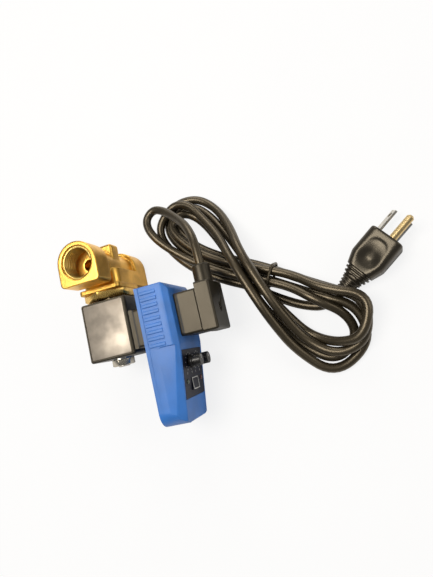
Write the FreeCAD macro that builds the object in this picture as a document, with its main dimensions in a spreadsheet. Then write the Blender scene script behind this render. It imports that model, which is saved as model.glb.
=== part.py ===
"""Timed drain valve: brass valve body, coil, timer, cord plug, hanked cord and mains plug.

The valve is drawn upright and then laid on its side, as it lies on a table. In the upright
frame x runs from the coil to the cord plug, y along the flow through the ports, and z along
the plunger, from the brass body to the coil nut. The origin is where the port axis crosses
the plunger axis. On the table the origin is under the middle of the valve, z up.
"""
import FreeCAD, Part
import math
import os
import Sketcher
from FreeCAD import Placement, Rotation, Vector

# Driving dimensions in millimetres: name, value, meaning
SIZES = [
    ("port_half", 34.6, "port face from the plunger axis"),
    ("port_radius", 10.48, "major radius of the half inch pipe thread"),
    ("port_depth", 15.0, "threaded length of a port"),
    ("hub_radius", 13.6, "round side of the port hub"),
    ("hub_length", 15.6, "hub along the flow"),
    ("hub_flat", 14.2, "flat foot of the hub from the port axis"),
    ("hub_corner", 2.5, "corner radius of the hub foot"),
    ("barrel_radius", 10.6, "round neck between the hubs"),
    ("ledge_level", 3.5, "top of the lower block"),
    ("block_front", 11.5, "front of the lower block from the plunger axis"),
    ("block_corner", 5.0, "corner radius of the lower block"),
    ("boss_half_x", 10.0, "half width of the back boss"),
    ("boss_half_y", 5.2, "half length of the back boss"),
    ("boss_height", 15.0, "back boss from the port axis"),
    ("boss_chamfer", 1.2, "chamfer round the boss"),
    ("flange_half", 15.0, "half width of the bonnet flange"),
    ("flange_thick", 3.3, "bonnet flange"),
    ("flange_corner", 3.0, "corner radius of the flange"),
    ("waterway_radius", 3.5, "inner waterway"),
    ("wall_to_seat", 1.2, "wall between the two waterways"),
    ("seat_level", 9.0, "valve seat from the port axis"),
    ("seat_radius", 3.8, "outside of the seat nozzle"),
    ("orifice_radius", 2.25, "orifice in the seat"),
    ("chamber_radius", 7.0, "chamber round the seat"),
    ("chamber_floor", 6.0, "chamber floor from the port axis"),
    ("feed_radius", 1.5, "feed hole into the chamber"),
    ("thread_radius", 8.5, "bonnet thread in the body"),
    ("thread_clear", 0.1, "radial clearance in the bonnet thread"),
    ("hex_flats", 30.0, "bonnet hexagon across flats"),
    ("hex_height", 5.1, "bonnet hexagon"),
    ("hex_chamfer", 1.5, "chamfer on the hexagon corners"),
    ("ring_wire", 1.2, "room for the O-ring"),
    ("ring_free", 0.05, "gap round the O-ring"),
    ("collar_radius", 8.3, "collar of the armature tube"),
    ("collar_thick", 1.5, "collar of the armature tube"),
    ("tube_radius", 6.5, "armature tube outside"),
    ("tube_bore", 5.6, "armature tube inside"),
    ("tube_clear", 0.1, "radial clearance round the armature tube"),
    ("core_level", 44.0, "lower face of the fixed core"),
    ("core_clear", 0.05, "radial clearance of core and plunger"),
    ("plunger_travel", 2.5, "stroke of the plunger"),
    ("plunger_bore", 2.3, "spring pocket in the plunger"),
    ("pocket_depth", 12.0, "depth of the spring pocket"),
    ("seal_radius", 3.4, "plunger seal"),
    ("seal_thick", 3.0, "plunger seal"),
    ("seal_proud", 0.4, "seal below the plunger"),
    ("spring_radius", 1.85, "mean radius of the spring"),
    ("spring_wire", 0.5, "spring wire"),
    ("shade_mean", 3.9, "mean radius of the shading ring"),
    ("shade_wide", 1.0, "shading ring, radial"),
    ("shade_deep", 1.6, "shading ring, axial"),
    ("stud_radius", 4.0, "stud for the coil nut"),
    ("stud_proud", 0.8, "stud beyond the nut"),
    ("coil_left", 15.6, "coil side from the plunger axis"),
    ("coil_right", 17.4, "coil side towards the timer"),
    ("coil_half", 15.0, "half width of the coil along the flow"),
    ("coil_low", 23.6, "coil face at the brass"),
    ("coil_high", 62.6, "coil face at the nut"),
    ("coil_round", 1.6, "edge radius of the coil"),
    ("coil_wall", 2.0, "moulded wall of the coil"),
    ("yoke_thick", 1.5, "steel yoke"),
    ("yoke_half", 10.0, "half width of the yoke"),
    ("spool_wall", 1.2, "spool tube and flanges"),
    ("spool_flange", 10.9, "radius of the spool flanges"),
    ("winding_inset", 0.4, "winding below the flange edge"),
    ("fit_gap", 0.2, "gap where an inner piece seats"),
    ("washer_radius", 7.4, "lock washer"),
    ("washer_thick", 0.8, "lock washer"),
    ("nut_flats", 13.0, "coil nut across flats"),
    ("nut_height", 4.2, "coil nut"),
    ("nut_chamfer", 0.8, "chamfer on the nut corners"),
    ("base_low", 34.8, "terminal base, end at the brass"),
    ("base_high", 59.8, "terminal base, end at the nut"),
    ("base_half", 13.8, "half width of the terminal base"),
    ("base_proud", 2.5, "terminal base from the coil"),
    ("gasket_thick", 1.0, "flat gaskets of both connectors"),
    ("gasket_clear", 0.5, "window of a flat gasket beyond the blades"),
    ("blade_pitch", 9.0, "phase blades from the middle"),
    ("blade_wide", 6.3, "connector blade"),
    ("blade_thick", 0.8, "connector blade"),
    ("blade_reach", 7.0, "free length of a blade"),
    ("blade_root", 1.5, "blade held in its base"),
    ("blade_clear", 0.2, "gap round a blade in its slot"),
    ("socket_corner", 2.0, "corner radius of the socket"),
    ("case_half", 22.5, "half width of the timer case"),
    ("case_back", 28.2, "back of the timer case"),
    ("cover_thick", 2.4, "back cover"),
    ("case_low", 23.9, "case end at the brass"),
    ("case_high", 110.4, "case end beyond the nut"),
    ("case_front", 49.6, "flat front of the case"),
    ("lip_inset", 3.2, "lip at the brass end, along x"),
    ("lip_length", 4.1, "lip at the brass end, along z"),
    ("slope_start", 63.0, "where the front starts to slope"),
    ("slope_drop", 5.9, "fall of the sloping front"),
    ("case_wall", 2.0, "wall of the timer case"),
    ("side_wall", 4.0, "side wall with its grip"),
    ("end_wall", 2.5, "end walls of the case"),
    ("end_round", 9.4, "corner radius of the far end"),
    ("edge_depth", 3.2, "front edge chamfer, along x"),
    ("edge_width", 3.0, "front edge chamfer, along y"),
    ("edge_depth_end", 6.0, "front edge chamfer at the far end, along x"),
    ("edge_width_end", 4.6, "front edge chamfer at the far end, along y"),
    ("facet_start", 35.5, "side facet, where it leaves the side"),
    ("facet_depth", 1.5, "side facet at the front"),
    ("rib_first", 27.0, "first grip rib"),
    ("rib_pitch", 4.1, "grip rib pitch"),
    ("rib_count", 9, "grip ribs on a side"),
    ("rib_wide", 2.3, "grip rib"),
    ("rib_proud", 0.5, "grip rib height"),
    ("rib_left", 31.5, "grip rib, back end"),
    ("rib_right", 42.0, "grip rib, front end"),
    ("post_radius", 3.0, "screw posts and board posts"),
    ("post_inset", 4.2, "screw post from the inner walls"),
    ("screw_radius", 1.4, "case screw shank"),
    ("screw_head", 2.6, "case screw head"),
    ("screw_length", 9.0, "case screw under the head"),
    ("head_height", 1.6, "screw heads"),
    ("panel_top", 67.0, "control panel, upper end"),
    ("panel_bottom", 96.5, "control panel, lower end"),
    ("panel_half", 17.2, "half width of the control panel"),
    ("panel_thick", 0.5, "control panel plate"),
    ("knob_level", 74.8, "knob axes"),
    ("knob_spread", 7.2, "knob axis from the middle"),
    ("knob_radius", 3.8, "knob"),
    ("knob_tip", 59.0, "knob end"),
    ("knob_lift", 0.9, "gap between knob and panel"),
    ("knob_skirt", 0.5, "skirt of the knob, radial"),
    ("skirt_length", 2.2, "skirt of the knob"),
    ("slot_wide", 1.1, "pointer slot in the knob"),
    ("slot_deep", 0.8, "pointer slot in the knob"),
    ("spindle_radius", 2.0, "potentiometer spindle"),
    ("spindle_clear", 0.06, "radial clearance of the spindle"),
    ("button_level", 88.6, "middle of the test button"),
    ("button_half_y", 5.6, "half width of the test button"),
    ("button_half_z", 3.9, "half height of the test button"),
    ("button_proud", 0.8, "button above the panel"),
    ("button_travel", 0.5, "stroke of the test button"),
    ("button_clear", 0.15, "gap round the button"),
    ("button_flange", 0.9, "hidden rim that keeps the button in"),
    ("button_rim", 0.8, "thickness of that rim"),
    ("lamp_level", 86.5, "indicator lamps"),
    ("lamp_spread", 12.4, "lamp axis from the middle"),
    ("lamp_radius", 1.5, "indicator lamp"),
    ("board_level", 36.0, "back of the circuit board"),
    ("board_thick", 1.6, "circuit board"),
    ("board_side", 10.1, "circuit board from the sides of the case"),
    ("board_low", 30.0, "circuit board, end at the brass"),
    ("board_high", 96.0, "circuit board, far end"),
    ("rest_radius", 2.0, "board rests on the back cover"),
    ("rest_spread", 9.0, "board rests from the middle"),
    ("rest_inset", 5.0, "board rests from the ends of the board"),
    ("pot_half", 4.8, "half width of a potentiometer"),
    ("pot_height", 6.5, "potentiometer on the board"),
    ("switch_half", 3.0, "half width of the test switch"),
    ("switch_height", 3.6, "test switch on the board"),
    ("inlet_thick", 1.6, "flange of the power inlet"),
    ("inlet_low", 31.7, "cord plug and inlet, end at the brass"),
    ("inlet_high", 58.9, "cord plug and inlet, far end"),
    ("inlet_half", 14.0, "half width of the cord plug"),
    ("inlet_inset", 4.0, "inlet body inside its flange"),
    ("inlet_depth", 5.0, "inlet body behind its flange"),
    ("hood_step", 64.5, "step between the two parts of the hood"),
    ("hood_end", 74.3, "end of the hood"),
    ("hood_rise", 3.4, "outer part beyond the inner part"),
    ("hood_proud", 0.7, "outer part wider than the inner part"),
    ("hood_round", 1.5, "edge radius of the hood"),
    ("hood_wall", 2.2, "wall of the hood"),
    ("hood_cavity", 11.5, "depth of the hood"),
    ("neck_axis", 67.3, "axis of the cord neck"),
    ("neck_radius", 5.9, "cord neck"),
    ("neck_end", 15.8, "mouth of the cord neck"),
    ("neck_round", 1.5, "edge radius at the mouth"),
    ("plug_screw_radius", 1.5, "centre screw"),
    ("plug_screw_head", 3.0, "head of the centre screw"),
    ("plug_screw_sunk", 2.4, "depth of the screw recess"),
    ("screw_clear", 0.15, "radial clearance of the screws"),
    ("cord_radius", 3.0, "mains cord"),
    ("tie_radius", 0.9, "twist tie round the waist of the hank"),
    ("tie_gap", 0.3, "gap of the tie round the strands"),
    ("mains_length", 34.0, "mains plug body"),
    ("mains_shoulder", 15.0, "where the plug body reaches its full width"),
    ("mains_half", 11.4, "mains plug, half width at the pins"),
    ("mains_depth", 11.4, "mains plug, half depth at the pins"),
    ("mains_mid_half", 11.8, "mains plug, half width at the shoulder"),
    ("mains_mid_depth", 9.0, "mains plug, half depth at the shoulder"),
    ("mains_root", 6.6, "mains plug, half width at the relief"),
    ("mains_corner", 4.6, "corner radius of the mains plug"),
    ("recess_low", 8.0, "finger recess, end at the relief"),
    ("recess_high", 29.0, "finger recess, end at the pins"),
    ("recess_half", 7.0, "half width of the finger recess"),
    ("recess_deep", 1.6, "depth of the finger recess"),
    ("relief_length", 9.0, "ribbed strain relief"),
    ("relief_root", 6.0, "strain relief at the plug"),
    ("relief_tip", 4.6, "strain relief at the cord"),
    ("relief_pitch", 3.4, "pitch of the grooves in the relief"),
    ("relief_groove", 1.2, "width and depth of the grooves"),
    ("pin_radius", 2.4, "ground pin"),
    ("pin_length", 17.3, "ground pin"),
    ("pin_neck", 2.0, "neck of the ground pin in the plug body"),
    ("pin_shoulder", 0.3, "free length of that neck"),
    ("contact_roll", -62.0, "pins turned about the plug axis, in degrees"),
    ("pin_offset", 6.4, "ground pin from the plug axis"),
    ("contact_spread", 6.35, "mains blades from the middle"),
    ("contact_offset", 5.5, "mains blades from the plug axis"),
    ("contact_wide", 6.35, "mains blade"),
    ("contact_thick", 1.52, "mains blade"),
    ("contact_length", 16.0, "mains blade"),
    ("pin_root", 3.0, "pins held in the plug body"),
    ("plug_x", 126.9, "joint of plug and relief on the table, along x"),
    ("plug_y", 1.6, "joint of plug and relief on the table, along y"),
    ("plug_turn", 35.0, "plug axis from x on the table, in degrees"),
]

doc = FreeCAD.newDocument("timed_drain_valve")
sheet = doc.addObject("Spreadsheet::Sheet", "Sizes")
for row, (alias, number, meaning) in enumerate(SIZES, start=1):
    sheet.set("A%d" % row, meaning)
    sheet.set("B%d" % row, repr(number))
    sheet.setAlias("B%d" % row, alias)
doc.recompute()


def formula_of(value):
    """The text that stands for a size or a plain number in an expression."""
    return value.formula if isinstance(value, Size) else repr(float(value))


class Size:
    """A length from the sheet: its number, and the formula that a property is bound to."""

    def __init__(self, number, formula):
        self.number = float(number)
        self.formula = formula

    def __float__(self):
        return self.number

    def __neg__(self):
        return Size(-self.number, "(-%s)" % self.formula)

    def __add__(self, other):
        return Size(self.number + float(other), "(%s + %s)" % (self.formula, formula_of(other)))

    def __sub__(self, other):
        return Size(self.number - float(other), "(%s - %s)" % (self.formula, formula_of(other)))

    def __rsub__(self, other):
        return Size(float(other) - self.number, "(%s - %s)" % (formula_of(other), self.formula))

    def __mul__(self, other):
        return Size(self.number * float(other), "(%s * %s)" % (self.formula, formula_of(other)))

    def __truediv__(self, other):
        return Size(self.number / float(other), "(%s / %s)" % (self.formula, formula_of(other)))

    __radd__ = __add__
    __rmul__ = __mul__


class Sheet:
    """Each alias of the sheet as an attribute that is a Size."""

    def __init__(self):
        for alias, number, meaning in SIZES:
            setattr(self, alias, Size(sheet.get(alias), "Sizes." + alias))


s = Sheet()
PIECES = {}


def bind(thing, prop, value):
    """Set a property from a size and tie it to the sheet."""
    if isinstance(value, Size):
        thing.setExpression(prop, value.formula)


def keep(name, thing):
    """Register a finished sub-part under the name of its node."""
    thing.Label = name
    PIECES[name] = thing
    return thing


def curve_of(edge):
    """Name of the kind of curve that an edge lies on, empty where it has none."""
    try:
        return edge.Curve.TypeId
    except TypeError:
        return ""


def along(axis, x=None, y=None, z=None, tol=0.05):
    """Picks straight edges along an axis whose middle has the given coordinates."""
    direction = {"x": Vector(1, 0, 0), "y": Vector(0, 1, 0), "z": Vector(0, 0, 1)}[axis]

    def test(edge):
        if curve_of(edge) != "Part::GeomLine":
            return False
        if abs(abs(edge.tangentAt(edge.FirstParameter).dot(direction)) - 1) > 1e-6:
            return False
        middle = (edge.Vertexes[0].Point + edge.Vertexes[-1].Point) / 2
        return all(
            want is None or any(abs(float(w) - have) < tol for w in as_list(want))
            for want, have in ((x, middle.x), (y, middle.y), (z, middle.z))
        )

    return test


def ring(radius, x=None, y=None, z=None, tol=0.05):
    """Picks circular edges by radius and by the coordinates of the centre."""

    def test(edge):
        if curve_of(edge) != "Part::GeomCircle":
            return False
        centre = edge.Curve.Center
        return abs(edge.Curve.Radius - float(radius)) < tol and all(
            want is None or any(abs(float(w) - have) < tol for w in as_list(want))
            for want, have in ((x, centre.x), (y, centre.y), (z, centre.z))
        )

    return test


def as_list(value):
    return value if isinstance(value, (list, tuple)) else [value]


class Body:
    """A sub-part made of sketches and features in one PartDesign body."""

    def __init__(self, name):
        self.body = keep(name, doc.addObject("PartDesign::Body", name))
        self.count = 0

    def _name(self, kind):
        self.count += 1
        return "%s_%s_%d" % (self.body.Name, kind, self.count)

    def origin(self, role):
        return [o for o in self.body.Origin.OriginFeatures if o.Role == role][0]

    def sketch(self, plane, level, loops, turn=None):
        """A sketch parallel to an origin plane, of polygons and circles.

        XY is seen from +z, YZ from +x; XZ lies in x and z and its normal is -y, so its
        level counts towards -y. A loop is a list of points, a circle (x, y, radius) or a
        rounded rectangle (x0, x1, y0, y1, radius).
        """
        sketch = self.body.newObject("Sketcher::SketchObject", self._name("sketch"))
        sketch.AttachmentSupport = [(self.origin(plane + "_Plane"), "")]
        sketch.MapMode = "FlatFace"
        rise = -level if plane == "XZ" else level
        sketch.AttachmentOffset = Placement(Vector(0, 0, float(rise)), turn or Rotation())
        bind(sketch, "AttachmentOffset.Base.z", rise)
        for loop in loops:
            if isinstance(loop, tuple) and len(loop) == 5:
                self._rounded(sketch, *loop)
            elif isinstance(loop, tuple):
                self._circle(sketch, *loop)
            else:
                self._polygon(sketch, loop)
        doc.recompute()
        return sketch

    def _fix(self, sketch, geometry, point, x, y):
        for kind, value, axis in (("DistanceX", x, -2), ("DistanceY", y, -1)):
            if float(value) == 0:
                sketch.addConstraint(Sketcher.Constraint("PointOnObject", geometry, point, axis))
                continue
            number = sketch.addConstraint(
                Sketcher.Constraint(kind, -1, 1, geometry, point, float(value)))
            bind(sketch, "Constraints[%d]" % number, value)

    def _circle(self, sketch, x, y, radius):
        centre = Vector(float(x), float(y), 0)
        number = sketch.addGeometry(Part.Circle(centre, Vector(0, 0, 1), float(radius)), False)
        limit = sketch.addConstraint(Sketcher.Constraint("Radius", number, float(radius)))
        bind(sketch, "Constraints[%d]" % limit, radius)
        self._fix(sketch, number, 3, x, y)

    def _rounded(self, sketch, x0, x1, y0, y1, radius):
        """A rectangle with rounded corners, its sides located by their coordinates."""
        r = float(radius)
        left, right, low, high = [float(v) for v in (x0, x1, y0, y1)]
        first = sketch.GeometryCount
        sides = [((left + r, low), (right - r, low)), ((right, low + r), (right, high - r)),
                 ((right - r, high), (left + r, high)), ((left, high - r), (left, low + r))]
        middles = [(right - r, low + r), (right - r, high - r), (left + r, high - r),
                   (left + r, low + r)]
        for side in sides:
            ends = [Vector(x, y, 0) for x, y in side]
            sketch.addGeometry(Part.LineSegment(*ends), False)
        for i, (x, y) in enumerate(middles):
            circle = Part.Circle(Vector(x, y, 0), Vector(0, 0, 1), r)
            start = math.pi / 2 * (i - 1)
            sketch.addGeometry(Part.ArcOfCircle(circle, start, start + math.pi / 2), False)
        for i in range(4):
            arc = first + 4 + i
            sketch.addConstraint(Sketcher.Constraint("Tangent", first + i, 2, arc, 1))
            sketch.addConstraint(Sketcher.Constraint(
                "Tangent", arc, 2, first + (i + 1) % 4, 1))
            level = "Horizontal" if i % 2 == 0 else "Vertical"
            sketch.addConstraint(Sketcher.Constraint(level, first + i))
            if i:
                sketch.addConstraint(Sketcher.Constraint("Equal", first + 4, arc))
        limit = sketch.addConstraint(Sketcher.Constraint("Radius", first + 4, r))
        bind(sketch, "Constraints[%d]" % limit, radius)
        for kind, value, line, axis in (
                ("DistanceY", y0, 0, -1), ("DistanceX", x1, 1, -2),
                ("DistanceY", y1, 2, -1), ("DistanceX", x0, 3, -2)):
            if float(value) == 0:
                sketch.addConstraint(Sketcher.Constraint(
                    "PointOnObject", first + line, 1, axis))
                continue
            number = sketch.addConstraint(
                Sketcher.Constraint(kind, -1, 1, first + line, 1, float(value)))
            bind(sketch, "Constraints[%d]" % number, value)

    def _polygon(self, sketch, points):
        corners = [Vector(float(x), float(y), 0) for x, y in points]
        count = len(corners)
        first = sketch.GeometryCount
        for i in range(count):
            sketch.addGeometry(Part.LineSegment(corners[i], corners[(i + 1) % count]), False)
        for i in range(count):
            sketch.addConstraint(Sketcher.Constraint(
                "Coincident", first + i, 2, first + (i + 1) % count, 1))
        for i, (x, y) in enumerate(points):
            self._fix(sketch, first + i, 1, x, y)

    def feature(self, kind, sketch=None):
        made = self.body.newObject("PartDesign::" + kind, self._name(kind.lower()))
        if sketch is not None:
            made.Profile = sketch
        return made

    def finish(self, made):
        self.body.Tip = made
        doc.recompute()
        if made.State != ["Up-to-date"] or made.Shape.isNull():
            raise RuntimeError("%s of %s fails" % (made.Name, self.body.Label))
        return made

    def pad(self, sketch, length, symmetric=False, reverse=False):
        made = self.feature("Pad", sketch)
        made.Length = float(length)
        bind(made, "Length", length)
        made.SideType = "Symmetric" if symmetric else "One side"
        made.Reversed = reverse
        return self.finish(made)

    def pocket(self, sketch, length=None, symmetric=False, reverse=False):
        """Cut along the sketch's normal, backwards unless reverse; None cuts through all."""
        before = self.body.Shape.Volume
        made = self.feature("Pocket", sketch)
        if length is None:
            made.Type = "ThroughAll"
        else:
            made.Length = float(length)
            bind(made, "Length", length)
        made.SideType = "Symmetric" if symmetric else "One side"
        made.Reversed = reverse
        self.finish(made)
        if not made.Shape.Volume < before - 1e-6:
            raise RuntimeError("%s cuts nothing" % made.Name)
        return made

    def revolve(self, sketch, axis, cut=False):
        before = self.body.Shape.Volume if cut else 0
        made = self.feature("Groove" if cut else "Revolution", sketch)
        made.ReferenceAxis = (self.origin(axis + "_Axis"), [""])
        made.Angle = 360.0
        self.finish(made)
        if cut and not made.Shape.Volume < before - 1e-6:
            raise RuntimeError("%s cuts nothing" % made.Name)
        return made

    def mirror(self, plane, originals):
        made = self.feature("Mirrored")
        made.Originals = originals
        made.MirrorPlane = (self.origin(plane + "_Plane"), [""])
        return self.finish(made)

    def row(self, axis, original, length, count):
        made = self.feature("LinearPattern")
        made.Originals = [original]
        made.Direction = (self.origin(axis + "_Axis"), [""])
        made.Length = float(length)
        bind(made, "Length", length)
        made.Occurrences = int(round(float(count)))
        bind(made, "Occurrences", count)
        return self.finish(made)

    def _dress(self, kind, prop, tests, size):
        tip = self.body.Tip
        names = [
            "Edge%d" % (i + 1)
            for i, edge in enumerate(tip.Shape.Edges)
            if any(test(edge) for test in as_list(tests))
        ]
        if not names:
            raise RuntimeError("%s finds no edge for its %s" % (self.body.Label, kind.lower()))
        made = self.feature(kind)
        made.Base = (tip, names)
        setattr(made, prop, float(size))
        bind(made, prop, size)
        return self.finish(made)

    def fillet(self, tests, radius):
        return self._dress("Fillet", "Radius", tests, radius)

    def chamfer(self, tests, size):
        return self._dress("Chamfer", "Size", tests, size)


def rectangle(x0, x1, y0, y1):
    return [(x0, y0), (x1, y0), (x1, y1), (x0, y1)]


def box_between(name, x0, x1, y0, y1, z0, z1):
    """A Part box between two values on each axis, bound to the sheet."""
    box = doc.addObject("Part::Box", name)
    for prop, low, high in (("Length", x0, x1), ("Width", y0, y1), ("Height", z0, z1)):
        size = high - low
        setattr(box, prop, float(size))
        bind(box, prop, size)
    box.Placement = Placement(Vector(float(x0), float(y0), float(z0)), Rotation())
    for axis, low in (("x", x0), ("y", y0), ("z", z0)):
        bind(box, "Placement.Base." + axis, low)
    return box


def rod_between(name, axis, low, high, radius, u=0.0, v=0.0):
    """A Part cylinder along an axis; u and v are its other two coordinates in order."""
    rod = doc.addObject("Part::Cylinder", name)
    rod.Radius = float(radius)
    bind(rod, "Radius", radius)
    length = high - low
    rod.Height = float(length)
    bind(rod, "Height", length)
    turn = {"x": Rotation(Vector(0, 1, 0), 90), "y": Rotation(Vector(1, 0, 0), -90),
            "z": Rotation()}[axis]
    place = {"x": (low, u, v), "y": (u, low, v), "z": (u, v, low)}[axis]
    rod.Placement = Placement(Vector(*[float(p) for p in place]), turn)
    for name_of_axis, value in zip("xyz", place):
        bind(rod, "Placement.Base." + name_of_axis, value)
    return rod


def fused(name, things):
    made = doc.addObject("Part::MultiFuse", name)
    made.Shapes = things
    doc.recompute()
    return made


def cut(name, base, tool):
    made = doc.addObject("Part::Cut", name)
    made.Base = base
    made.Tool = tool
    doc.recompute()
    if not made.Shape.Volume < base.Shape.Volume - 1e-6:
        raise RuntimeError("%s cuts nothing" % name)
    return made


def group(name, things):
    """Several separate solids kept in one node."""
    made = doc.addObject("Part::Compound", name)
    made.Links = things
    doc.recompute()
    return keep(name, made)


# Levels that several pieces share
flange_face = s.hub_flat + s.flange_thick
collar_low = s.seat_level + s.ring_wire
collar_high = collar_low + s.collar_thick
hex_top = flange_face + s.hex_height
inner_port = s.port_half - s.port_depth
hub_inner = s.port_half - s.hub_length
washer_top = s.coil_high + s.washer_thick
nut_top = washer_top + s.nut_height
base_face = s.coil_right + s.base_proud
socket_face = base_face + s.gasket_thick
shell_back = s.case_back + s.cover_thick
flange_out = s.case_front + s.inlet_thick
hood_face = flange_out + s.gasket_thick
base_mid = (s.base_low + s.base_high) / 2
inlet_mid = (s.inlet_low + s.inlet_high) / 2
slope_rate = s.slope_drop / (s.case_high - s.slope_start)


def front_at(level):
    """The sloping front of the case at a level along z."""
    return s.case_front - slope_rate * (level - s.slope_start)


# Brass valve body
def valve_body():
    b = Body("valve_body")
    b.pad(b.sketch("XZ", 0.0, [(0.0, 0.0, s.barrel_radius)]),
          s.port_half * 2 - s.hub_length, symmetric=True)
    round_hub = b.pad(b.sketch("XZ", s.port_half, [(0.0, 0.0, s.hub_radius)]), s.hub_length)
    foot = b.pad(
        b.sketch("XZ", s.port_half, [rectangle(-s.hub_radius, s.hub_radius, 0.0, s.hub_flat)]),
        s.hub_length)
    b.mirror("XZ", [round_hub, foot])
    b.pad(b.sketch("XY", s.ledge_level,
                   [rectangle(-s.hub_radius, s.hub_radius, -hub_inner, s.block_front)]),
          s.hub_flat - s.ledge_level)
    b.fillet(along("z", x=[s.hub_radius, -s.hub_radius], y=s.block_front), s.block_corner)
    front_foot = along("y", x=[s.hub_radius, -s.hub_radius], z=s.hub_flat)
    b.fillet(lambda edge: front_foot(edge) and edge.CenterOfMass.y > float(s.block_front),
             s.hub_corner)
    b.pad(b.sketch("XY", s.hub_flat,
                   [(-s.flange_half, s.flange_half, -s.flange_half, s.flange_half,
                     s.flange_corner)]), s.flange_thick)
    b.pad(b.sketch("XY", -s.boss_height,
                   [rectangle(-s.boss_half_x, s.boss_half_x, -s.boss_half_y, s.boss_half_y)]),
          s.boss_height)
    b.chamfer([along("x", z=-s.boss_height), along("y", z=-s.boss_height),
               along("z", x=[s.boss_half_x, -s.boss_half_x],
                     y=[s.boss_half_y, -s.boss_half_y])], s.boss_chamfer)
    port = b.pocket(b.sketch("XZ", s.port_half, [(0.0, 0.0, s.port_radius)]), s.port_depth,
                    reverse=True)
    b.mirror("XZ", [port])
    outlet_reach = inner_port + s.seat_radius
    b.pocket(b.sketch("XZ", inner_port, [(0.0, 0.0, s.waterway_radius)]), outlet_reach,
             reverse=True)
    feed_axis = (s.seat_radius + s.chamber_radius) / 2
    b.pocket(b.sketch("XZ", -inner_port, [(0.0, 0.0, s.waterway_radius)]),
             inner_port - s.seat_radius - s.wall_to_seat)
    b.pocket(b.sketch("XY", flange_face, [(0.0, 0.0, s.thread_radius)]),
             flange_face - s.seat_level)
    b.pocket(b.sketch("XY", s.seat_level, [(0.0, 0.0, s.chamber_radius)]),
             s.seat_level - s.chamber_floor)
    b.pad(b.sketch("XY", s.chamber_floor, [(0.0, 0.0, s.seat_radius)]),
          s.seat_level - s.chamber_floor)
    b.pocket(b.sketch("XY", s.seat_level, [(0.0, 0.0, s.orifice_radius)]), s.seat_level)
    b.pocket(b.sketch("XY", s.chamber_floor, [(0.0, -feed_axis, s.feed_radius)]),
             s.chamber_floor)


def hexagon(flats):
    """Corners of a hexagon with two of them on the y axis."""
    corner = flats / math.sqrt(3)
    half = flats / 2
    return [(0.0, corner), (-half, corner / 2), (-half, -corner / 2), (0.0, -corner),
            (half, -corner / 2), (half, corner / 2)]


def round_corners(body, flats, top, chamfer):
    """Turn the corners of a hexagon down to a cone at its outer face."""
    corner = flats / math.sqrt(3)
    rim = corner + 0.5
    edge = flats / 2
    body.revolve(body.sketch("XZ", 0.0, [[(edge, top), (rim, top), (rim, top - chamfer)]]),
                 "Z", cut=True)


def bonnet():
    b = Body("bonnet")
    b.pad(b.sketch("XY", flange_face, [hexagon(s.hex_flats)]), s.hex_height)
    b.pad(b.sketch("XY", flange_face, [(0.0, 0.0, s.thread_radius - s.thread_clear)]),
          flange_face - collar_high, reverse=True)
    b.pocket(b.sketch("XY", hex_top, [(0.0, 0.0, s.tube_radius + s.tube_clear)]),
             hex_top - collar_high)
    round_corners(b, s.hex_flats, hex_top, s.hex_chamfer)


def bonnet_o_ring():
    ring_body = doc.addObject("Part::Torus", "o_ring_torus")
    mean = s.collar_radius - s.ring_wire / 2
    for prop, value in (("Radius1", mean), ("Radius2", s.ring_wire / 2 - s.ring_free)):
        setattr(ring_body, prop, float(value))
        bind(ring_body, prop, value)
    level = s.seat_level + s.ring_wire / 2
    ring_body.Placement = Placement(Vector(0, 0, float(level)), Rotation())
    bind(ring_body, "Placement.Base.z", level)
    group("bonnet_o_ring", [ring_body])


def armature_tube():
    b = Body("armature_tube")
    top = s.coil_high - s.fit_gap
    b.revolve(b.sketch("XZ", 0.0, [[
        (s.tube_bore, collar_low), (s.collar_radius, collar_low),
        (s.collar_radius, collar_high), (s.tube_radius, collar_high),
        (s.tube_radius, top), (s.tube_bore, top)]]), "Z")


def fixed_core():
    b = Body("fixed_core")
    top = s.coil_high - s.fit_gap
    wide = s.tube_bore - s.core_clear
    end = nut_top + s.stud_proud
    b.revolve(b.sketch("XZ", 0.0, [[
        (0.0, s.core_level), (wide, s.core_level), (wide, top), (s.stud_radius, top),
        (s.stud_radius, end), (0.0, end)]]), "Z")
    inner = s.shade_mean - s.shade_wide / 2
    outer = s.shade_mean + s.shade_wide / 2
    b.revolve(b.sketch("XZ", 0.0, [rectangle(
        inner, outer, s.core_level, s.core_level + s.shade_deep)]), "Z", cut=True)
    b.chamfer(ring(s.stud_radius, z=end), 0.6)


def shading_ring():
    b = Body("shading_ring")
    b.revolve(b.sketch("XZ", 0.0, [rectangle(
        s.shade_mean - s.shade_wide / 2, s.shade_mean + s.shade_wide / 2,
        s.core_level, s.core_level + s.shade_deep)]), "Z")


def plunger():
    b = Body("plunger")
    low = s.seat_level + s.seal_proud
    high = s.core_level - s.plunger_travel
    wide = s.tube_bore - s.core_clear * 2
    seal_top = s.seat_level + s.seal_thick
    b.revolve(b.sketch("XZ", 0.0, [[
        (s.seal_radius, low), (wide, low), (wide, high), (s.plunger_bore, high),
        (s.plunger_bore, high - s.pocket_depth), (0.0, high - s.pocket_depth),
        (0.0, seal_top), (s.seal_radius, seal_top)]]), "Z")
    b.chamfer(ring(wide, z=[low, high]), 0.5)


def plunger_seal():
    b = Body("plunger_seal")
    b.pad(b.sketch("XY", s.seat_level, [(0.0, 0.0, s.seal_radius)]), s.seal_thick)


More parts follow.
